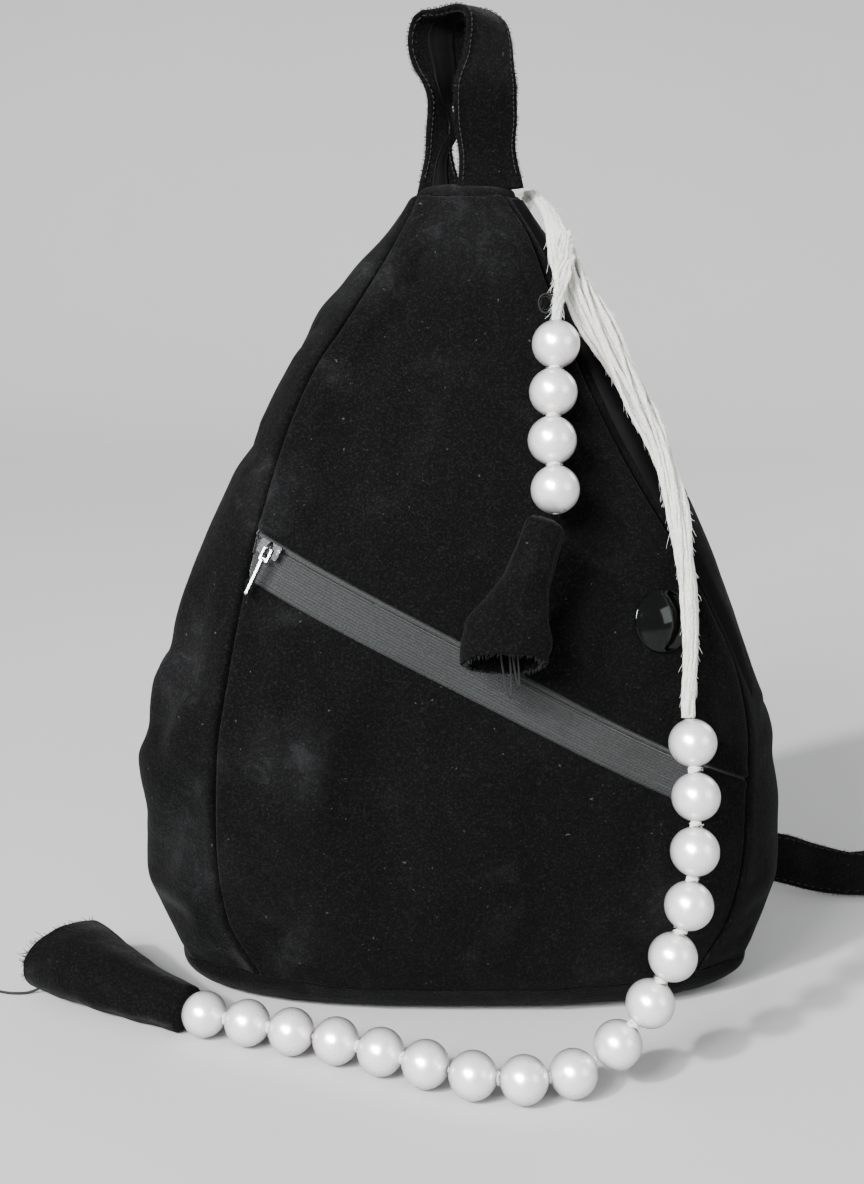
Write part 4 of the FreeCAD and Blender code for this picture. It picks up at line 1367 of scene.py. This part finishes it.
def hair_loop():
    """A curl of black thread caught beside the short string."""
    gather = Gather()
    centre = Vector((26.0, -16.0, 250.5))
    for number in range(6):
        size = random.uniform(2.2, 3.8)
        points = []
        for k in range(21):
            a = 2 * math.pi * k / 20 * 0.9 + number
            points.append(centre + Vector((size * 0.75 * math.cos(a), -0.8 + 0.7 * math.sin(2 * a + number),
                                           size * math.sin(a))))
        gather.tube(points, 0.11, 5)
    piece = gather.piece("thread_curl")
    finish(piece, "bag", THREAD, "black_thread", "thread_loop")


def strings():
    short = bead_centres("short_pearls", lambda p: -p.z)
    long = bead_centres("hanging_pearls", lambda p: -p.z)
    floor = [bead_centres("floor_%s_pearls" % letter, lambda p: -p.x) for letter in "abc"]
    pearl_string("short_strand", "short", short, short[0] + Vector((0.3, 5.0, 15.5)),
                 short[-1] + Vector((0.0, -4.0, -15.6)))
    pearl_string("hanging_pearls", "hanging", long, long[0] * 2 - long[1], floor[0][0])
    before = long[-1]
    tassel_way = Vector((-0.84, 0.54, 0)).normalized()
    following = [floor[1][0], floor[2][0], floor[2][-1] + tassel_way * 16.6]
    for letter, centres, after in zip("abc", floor, following):
        pearl_string("floor_pearls_" + letter, "floor_" + letter, centres, before, after)
        before = centres[-1]
    return short[0], floor[2][-1], tassel_way


zip_band()
snap()
facing()
flap_lining()
linings()
FIRST_PEARL, LAST_PEARL, TASSEL_WAY = strings()
long_yarn()
short_yarn(FIRST_PEARL)
yarn_tie()
hair_loop()


# ---- straps and the carrying loop ---------------------------------------------------------------
def stations_along(keys, count):
    """Smooth (centre, width direction, width) stations through a few keys."""
    centres = spline([k[0] for k in keys], count)
    lengths = [0.0]
    for a, b in zip(keys, keys[1:]):
        lengths.append(lengths[-1] + (Vector(b[0]) - Vector(a[0])).length)
    share = [length / lengths[-1] for length in lengths]
    parts = [smooth([(t, Vector(k[1]).normalized()[c]) for t, k in zip(share, keys)])
             for c in range(3)]
    width = smooth([(t, k[2]) for t, k in zip(share, keys)])
    result = []
    for i, centre in enumerate(centres):
        t = i / (count - 1)
        result.append((centre, Vector(part(t) for part in parts).normalized(), width(t)))
    return result


def band(name, stations, thick, side_count=36, shift=None):
    """A soft flat band with rounded, slightly swollen edges and a wandering surface."""
    gather = Gather()
    rows = []
    last = len(stations) - 1
    for i, (centre, wide, width) in enumerate(stations):
        along = (stations[min(i + 1, last)][0] - stations[max(i - 1, 0)][0]).normalized()
        wide = (wide - along * wide.dot(along)).normalized()
        face = along.cross(wide)
        if shift:
            centre = centre + wide * shift[0](i / last) + face * shift[1]
        row = []
        for k in range(side_count):
            a = 2 * math.pi * k / side_count
            u = math.copysign(abs(math.cos(a)) ** 0.55, math.cos(a))
            v = math.copysign(abs(math.sin(a)) ** 0.8, math.sin(a))
            swell = 1 + 0.35 * bell(abs(u), 0.86, 0.12) - 0.35 * bell(abs(u), 0.66, 0.07)
            height = thick / 2 * v * swell
            height += 0.35 * wander(centre + wide * (u * width / 2), 9, 2.0)
            row.append(centre + wide * (u * width / 2) + face * height)
        rows.append(row)
    gather.solid(rows)
    return gather.piece(name)


def frayed(gather, rims, length, each=5, thin=0.11):
    """Short threads standing out of a cut velvet edge."""
    for p, along, out in rims:
        for _ in range(each):
            start = p - out * random.uniform(0.0, 1.3) - along * 0.4
            start += random_direction() * 0.4
            way = (along + random_direction() * 0.55).normalized()
            size = length * random.uniform(0.35, 1.0)
            middle = start + way * size * 0.5 + random_direction() * 0.15
            gather.tube([start, middle, start + way * size], lambda t, a: thin * (1 - 0.5 * t), 4)


def edge_pile(name, stations, skip, each):
    """Pile that stands out along both long edges of a velvet band."""
    gather = Gather()
    for edge in (-1, 1):
        rims = []
        for (centre, wide, width), following in zip(stations[skip:-skip], stations[skip + 1:]):
            along = (following[0] - centre).normalized()
            wide = (wide - along * wide.dot(along)).normalized()
            face = along.cross(wide)
            rims.append((centre + wide * (edge * width / 2) + face * 0.65, wide * edge, face))
        frayed(gather, rims, 1.25, each, 0.075)
    return gather.piece(name)


LOOP_KEYS = [((-9.2, 20.5, LOOP_FOOT), (1, 0.1, 0), 16), ((-9.6, 22, 302), (0.92, 0.38, 0), 10),
             ((-9.4, 24.5, 316), (0.66, 0.75, 0), 12), ((-7.9, 25.5, 328), (0.96, 0.28, 0), 20.5),
             ((-9.2, 24.5, 338), (0.98, 0.2, 0), 23), ((-7.8, 22.8, 344.5), (0.9, 0.43, 0.1), 22),
             ((-3.0, 19.0, 347.0), (0.66, 0.75, 0.05), 19), ((3.0, 15.0, 346.5), (0.6, 0.8, 0), 18.5),
             ((6.6, 12.2, 341.5), (0.8, 0.6, 0), 18), ((7.2, 11, 332), (0.93, 0.36, 0), 18.3),
             ((6.2, 11, 321), (0.98, 0.2, 0), 22.2), ((6.5, 13, 312), (0.98, 0.2, 0), 22.3),
             ((7.2, 15.5, 301), (1, 0.15, 0), 20.1), ((8.6, 17.5, LOOP_FOOT), (1, 0, 0), 23.5)]


def loop_share(p):
    return ramp(p.z, TOP + 2.0, TOP + 13.0)


def grab_loop():
    """The carrying loop: velvet outside, satin inside, a row of stitches down each edge."""
    stations = stations_along(LOOP_KEYS, 150)
    velvet = band("grab_loop_velvet", stations, 2.2)
    bend(velvet, loop_share)
    finish(velvet, None, VELVET, "velvet", "grab_loop")
    pile = edge_pile("grab_loop_pile", stations, 4, 8)
    bend(pile, loop_share)
    finish(pile, None, VELVET, "velvet")
    inner = [(c, w, width * 0.40) for c, w, width in stations]
    satin = band("grab_loop_lining", inner, 0.8, 24,
                 (lambda t: 6.0 * bell(t, 0.17, 0.06), LOOP_INSIDE * 1.3))
    bend(satin, loop_share)
    finish(satin, None, SATIN, "satin", "grab_loop_satin")
    gather = Gather()
    for edge in (-1, 1):
        for face in (-1, 1):
            stitch_band(gather, stations, edge, face)
    thread = gather.piece("grab_loop_stitches")
    bend(thread, loop_share)
    finish(thread, None, THREAD, "black_thread")


def stitch_band(gather, stations, edge, face_side):
    """Short stitches that dip in and out near one edge of a band."""
    last = len(stations) - 1
    for i in range(6, last - 5, 2):
        points = []
        for step in (0, 0.5, 1.0, 1.4):
            k = min(i + int(step), last - 1)
            c, w, width = stations[k]
            following = stations[k + 1]
            along = (following[0] - c).normalized()
            wide = (w - along * w.dot(along)).normalized()
            face = along.cross(wide)
            centre = c.lerp(following[0], step - int(step))
            lift = 1.38 if 0 < step < 1.4 else 0.9
            points.append(centre + wide * (edge * (width / 2 - 1.5)) + face * (face_side * lift))
        gather.tube(points, 0.17, 5)


STRAP_KEYS = [((98.0, 35.7, 22), (0, 0, 1), 20), ((114, 42, 23.5), (0, 0, 1), 20),
              ((131, 46, 21.5), (0, 0.15, 1), 20), ((153, 57, 11.2), (0, 0.5, 0.86), 20),
              ((172, 59, 7.6), (0, 0.8, 0.6), 20), ((204, 59, 7.6), (0, 0.8, 0.6), 20),
              ((228, 62, 9.6), (-0.15, 0.3, 0.95), 20), ((240, 70, 10.6), (0, 0, 1), 20),
              ((228, 78, 9.4), (0.1, 0.35, 0.93), 20), ((204, 80, 4.6), (0, 0.95, 0.3), 20),
              ((160, 80, 1.9), (0, 1, 0), 20), ((80, 80, 1.9), (0, 1, 0), 20),
              ((42, 81, 4.6), (0, 1, 0.1), 20), ((18, 83, 20), (0.15, 1, 0.15), 20),
              ((6, 84, 50), (0.5, 0.85, 0), 20), ((1, 81, 85), (0.9, 0.4, 0), 20),
              ((0, 77, 125), (1, 0, 0), 20), ((0, 68, 200), (1, 0, 0), 20),
              ((0, 55, 255), (1, 0, 0), 20), ((0, 49, 272), (1, 0, 0), 20)]


def shoulder_strap():
    stations = stations_along(STRAP_KEYS, 320)
    strap = band("shoulder_strap_velvet", stations, 2.6, 32)
    finish(strap, "shoulder_strap", VELVET, "velvet", "shoulder_strap")
    pile = edge_pile("shoulder_strap_pile", stations, 8, 8)
    finish(pile, "shoulder_strap", VELVET, "velvet")
    gather = Gather()
    for edge in (-1, 1):
        stitch_band(gather, stations, edge, 1)
    thread = gather.piece("shoulder_strap_stitches")
    finish(thread, "shoulder_strap", THREAD, "black_thread")
    for name, node, keys in (
            ("strap_tab_top_velvet", "strap_tab_top",
             [((0, 36.5, 281), (1, 0, 0), 21), ((0, 43, 280.5), (1, 0, 0), 21),
              ((0, 47.5, 277), (1, 0, 0), 21), ((0, 49.4, 270), (1, 0, 0), 20.4)]),
            ("strap_tab_bottom_velvet", "strap_tab_bottom",
             [((88.5, 28.6, 22), (0, 0, 1), 21), ((93.0, 32.3, 22), (0, 0, 1), 21),
              ((98.4, 36.0, 22.2), (0, 0, 1), 20.6)])):
        tab = band(name, stations_along(keys, 24), 4.0)
        finish(tab, "bag", VELVET, "velvet", node)


# ---- tassels ------------------------------------------------------------------------------------
def sleeve(name, spine, wide, half_wide, half_thick, overhang):
    """A gathered velvet sleeve, closed at its cord end and open at a ragged rim."""
    rows, count = 70, 64
    gather = Gather()
    rings = []
    rims = []
    for j in range(rows):
        ring = []
        for k in range(count):
            a = 2 * math.pi * k / count
            full = 1 + overhang(a)
            t = full * j / (rows - 1)
            centre = spine(t)
            along = (spine(t + 0.02) - spine(t - 0.02)).normalized()
            across_way = (wide - along * wide.dot(along)).normalized()
            thin_way = along.cross(across_way)
            close = math.sqrt(min(j / 2.0, 1.0)) * 0.85 + 0.15
            pleat = 1 + 0.05 * math.cos(7 * a + 3 * t) * (1 - ramp(t, 0.1, 0.9))
            rag = 0.5 * noise.noise(Vector((k * 0.9, 0, 7))) if j == rows - 1 else 0.0
            r = close * pleat
            p = centre + across_way * (half_wide(t) * r * math.cos(a))
            p += thin_way * (half_thick(t) * r * math.sin(a)) + along * rag
            p += (p - centre).normalized() * 0.6 * wander(p, 8, 5.0)
            ring.append(p)
            if j == rows - 1:
                rims.append((p, along, (p - centre).normalized()))
        rings.append(ring)
    gather.grid(rings, True)
    piece = gather.piece(name)
    add_uv(piece, rows, count, 45, 80)
    thicken(piece, 1.3)
    subdivide(piece)
    return piece, rims


SHORT_TASSEL = ((24.4, -56.0, 184.0), (11.0, -66.5, 145.0))   # neck and foot
LONG_TASSEL = 63.0                         # length


def short_tassel():
    left = smooth([(0, 19.6), (0.2, 16.2), (0.48, 11.4), (0.67, 6.5), (0.93, -1.1), (1.2, -2.6)])

    def spine(t):
        shares = (min(t, 1.0), t, t)
        return Vector(mix(neck, foot, share) for neck, foot, share in zip(*SHORT_TASSEL, shares))

    def half_wide(t):
        return spine(t).x - left(t)

    def half_thick(t):
        return mix(4.2, 6.6, min(t, 1.0))

    def overhang(a):
        return 0.04 + 0.17 * (0.5 - 0.5 * math.sin(a))

    piece, rims = sleeve("short_tassel_velvet", spine, Vector((1, 0, -0.12)), half_wide, half_thick,
                         overhang)
    finish(piece, "short_strand", VELVET, "velvet", "short_tassel")
    fringe = Gather()
    frayed(fringe, rims, 1.8, 4)
    finish(fringe.piece("short_tassel_fray"), "short_strand", THREAD, "black_thread")
    inside = Gather()
    heart = spline([spine(0.06), spine(0.3), spine(0.6), spine(0.82)], 30)
    for number in range(9):
        path = []
        for i, p in enumerate(heart):
            a = number * 0.7 + i * 0.25
            path.append(p + Vector((math.cos(a), 0.6 * math.sin(a), 0)) * (1.9 * (number % 3) / 2 + 0.3))
        inside.tube(path, 0.62, 6)
    for x, drop, width in ((12.4, 29.0, 1.5), (15.6, 25.0, 0.9)):
        foot = spine(0.8)
        loop = []
        for k in range(25):
            a = math.pi * k / 24
            down = drop * math.sin(a) ** 0.7
            loop.append(Vector((x - 3.0 + width * -math.cos(a) + down * 0.13, foot.y - 1.0,
                                foot.z + 4.0 - down)))
        inside.tube(loop, 0.36, 6)
    finish(inside.piece("short_tassel_threads"), "short_strand", THREAD, "black_thread",
           "short_tassel_core")


def long_tassel(last_pearl, heading):
    start = last_pearl + heading * 6.6
    start.z = 0.0
    high = smooth([(0, 13.5), (0.3, 15.5), (0.7, 19.5), (1.0, 21.5), (1.2, 21.0)])
    broad = smooth([(0, 7.0), (0.25, 9.0), (0.6, 13.5), (1.0, 17.5), (1.2, 17.5)])
    side = Vector((-heading.y, heading.x, 0))

    def spine(t):
        bow = side * (2.2 * math.sin(math.pi * min(max(t, 0.0), 1.0)))
        return start + heading * (LONG_TASSEL * t) + bow + Vector((0, 0, high(t) / 2 + 0.9))

    def overhang(a):
        return 0.03 * math.sin(2 * a + 1.0)

    piece, rims = sleeve("long_tassel_velvet", spine, side, broad, lambda t: high(t) / 2, overhang)
    finish(piece, "long_tassel", VELVET, "velvet", "long_tassel")
    fringe = Gather()
    frayed(fringe, rims, 4.6, 6, 0.17)
    finish(fringe.piece("long_tassel_fray"), "long_tassel", THREAD, "black_thread")
    inside = Gather()
    heart = spline([spine(0.05), spine(0.3), spine(0.6), spine(0.9)], 34)
    for number in range(14):
        path = []
        for i, p in enumerate(heart):
            a = number * 0.9 + i * 0.2
            reach = (0.4 + 2.6 * (number % 4) / 3) * (0.6 + 0.5 * i / 33)
            path.append(p + side * (math.cos(a) * reach) + Vector((0, 0, math.sin(a) * reach)))
        inside.tube(path, 0.75, 6)
    low = spine(0.9)
    tail = [Vector((low.x, low.y, low.z - 2)), spine(0.97) + side * 9.0 - Vector((0, 0, 7.5))]
    end = spine(1.0) + side * 12.0
    tail.append(Vector((end.x - 4.0, end.y, 0.8)))
    tail.append(Vector((end.x - 11.0, end.y - 0.5, 0.6)))
    tail.append(Vector((end.x - 18.0, end.y + 1.5, 0.6)))
    inside.tube(spline(tail, 40), 0.5, 6)
    finish(inside.piece("long_tassel_threads"), "long_tassel", THREAD, "black_thread",
           "long_tassel_core")


# ---- padding ------------------------------------------------------------------------------------
def wadding(name, node, side, left, right, low, high):
    """A soft batt between velvet and lining, with shallow lumps."""
    def place(a, b):
        foot = low(0)
        head = high(0)
        for _ in range(8):
            x = mix(left(mix(foot, head, b)), right(mix(foot, head, b)), a)
            foot, head = low(x), high(x)
        z = mix(foot, head, b)
        x = mix(left(z), right(z), a)
        point = Vector((x, across(x, z, WADDING_DEPTH, side), z))
        return point, skin_normal(x, z, side), 0.35 * wander(point, 7, 9.0)

    piece = sheet(name, stops(150, 50), stops(180, 60), place)
    thicken(piece, 2.2)
    return finish(piece, "bag", WADDING, "wadding", node)


def waddings():
    wadding("front_padding", "front_wadding", -1, lambda z: left_seam(z) + 4,
            lambda z: right_edge(z) - 4, lambda x: LINING_FOOT + 1, lambda x: band_top(x) - ZIP_BAND - 4)
    wadding("back_padding", "back_wadding", 1, lambda z: back_seam(z, 1) - 5,
            lambda z: back_seam(z, -1) + 5, lambda x: LINING_FOOT + 1, lambda x: 266.0)


grab_loop()
shoulder_strap()
short_tassel()
long_tassel(LAST_PEARL, TASSEL_WAY)
waddings()


# ---- floor, light and camera --------------------------------------------------------------------
def lamp(name, kind, energy, place, target, **settings):
    data = bpy.data.lights.new(name, kind)
    data.energy = energy
    for key, value in settings.items():
        setattr(data, key, value)
    light = bpy.data.objects.new(name, data)
    light.location = place
    light.rotation_euler = (Vector(target) - Vector(place)).to_track_quat("-Z", "Y").to_euler()
    bpy.context.scene.collection.objects.link(light)
    return light


FLOOR_HALF = 4000.0                        # half width and depth of the floor
BACK_WALL = 2200.0                         # how far behind the bag the floor turns up
WALL_BEND = 900.0                          # radius of that turn
FLOOR_DROP = 0.15                          # the floor lies this far under the bag's base


def studio():
    """A pale sweep that is floor and backdrop in one, a key from the front left and soft fill."""
    gather = Gather()
    rows = []
    profile = [(-FLOOR_HALF, 0.0), (0.0, 0.0), (BACK_WALL - WALL_BEND, 0.0)]
    for k in range(1, 13):
        turn = math.pi / 2 * k / 12
        profile.append((BACK_WALL - WALL_BEND + WALL_BEND * math.sin(turn),
                        WALL_BEND * (1 - math.cos(turn))))
    profile.append((BACK_WALL, FLOOR_HALF))
    for y, z in profile:
        rows.append([Vector((x, y, z - FLOOR_DROP)) for x in (FLOOR_HALF, 0.0, -FLOOR_HALF)])
    gather.grid(rows)
    sweep = gather.piece("pale_sweep")
    sweep.data.materials.append(floor_look())
    world = bpy.data.worlds.new("studio")
    bpy.context.scene.world = world
    world.use_nodes = True
    sky = world.node_tree.nodes["Background"]
    sky.inputs["Color"].default_value = (0.97, 0.98, 1.0, 1.0)
    sky.inputs["Strength"].default_value = 0.60
    middle = (0.0, 0.0, 0.14)
    lamp("key", "SUN", 3.8, (-1.2, -1.0, 1.35), middle, angle=math.radians(4.0))
    lamp("window", "AREA", 18.0, (-0.55, -0.8, 0.75), middle, size=0.35)
    glint = lamp("glint", "AREA", 70.0, (-0.40, -0.95, 0.70), middle, size=0.36)
    glint.visible_diffuse = False
    lamp("fill", "AREA", 9.0, (1.3, -0.9, 0.7), middle, size=0.8)
    lamp("rim", "AREA", 7.0, (1.2, 0.9, 0.9), middle, size=0.6)


CAMERA_PLACE = (-12.0, -494.0, 270.0)
CAMERA_TILT = 76.0                          # degrees up from looking straight down
CAMERA_LENS = 42.57


def camera():
    data = bpy.data.cameras.new("camera")
    data.sensor_fit = "VERTICAL"
    data.sensor_height = 36.0
    data.lens = CAMERA_LENS
    data.clip_start = 0.01
    view = bpy.data.objects.new("camera", data)
    view.location = tuple(c * MM for c in CAMERA_PLACE)
    view.rotation_euler = (math.radians(CAMERA_TILT), 0.0, 0.0)
    bpy.context.scene.collection.objects.link(view)
    bpy.context.scene.camera = view


studio()
camera()
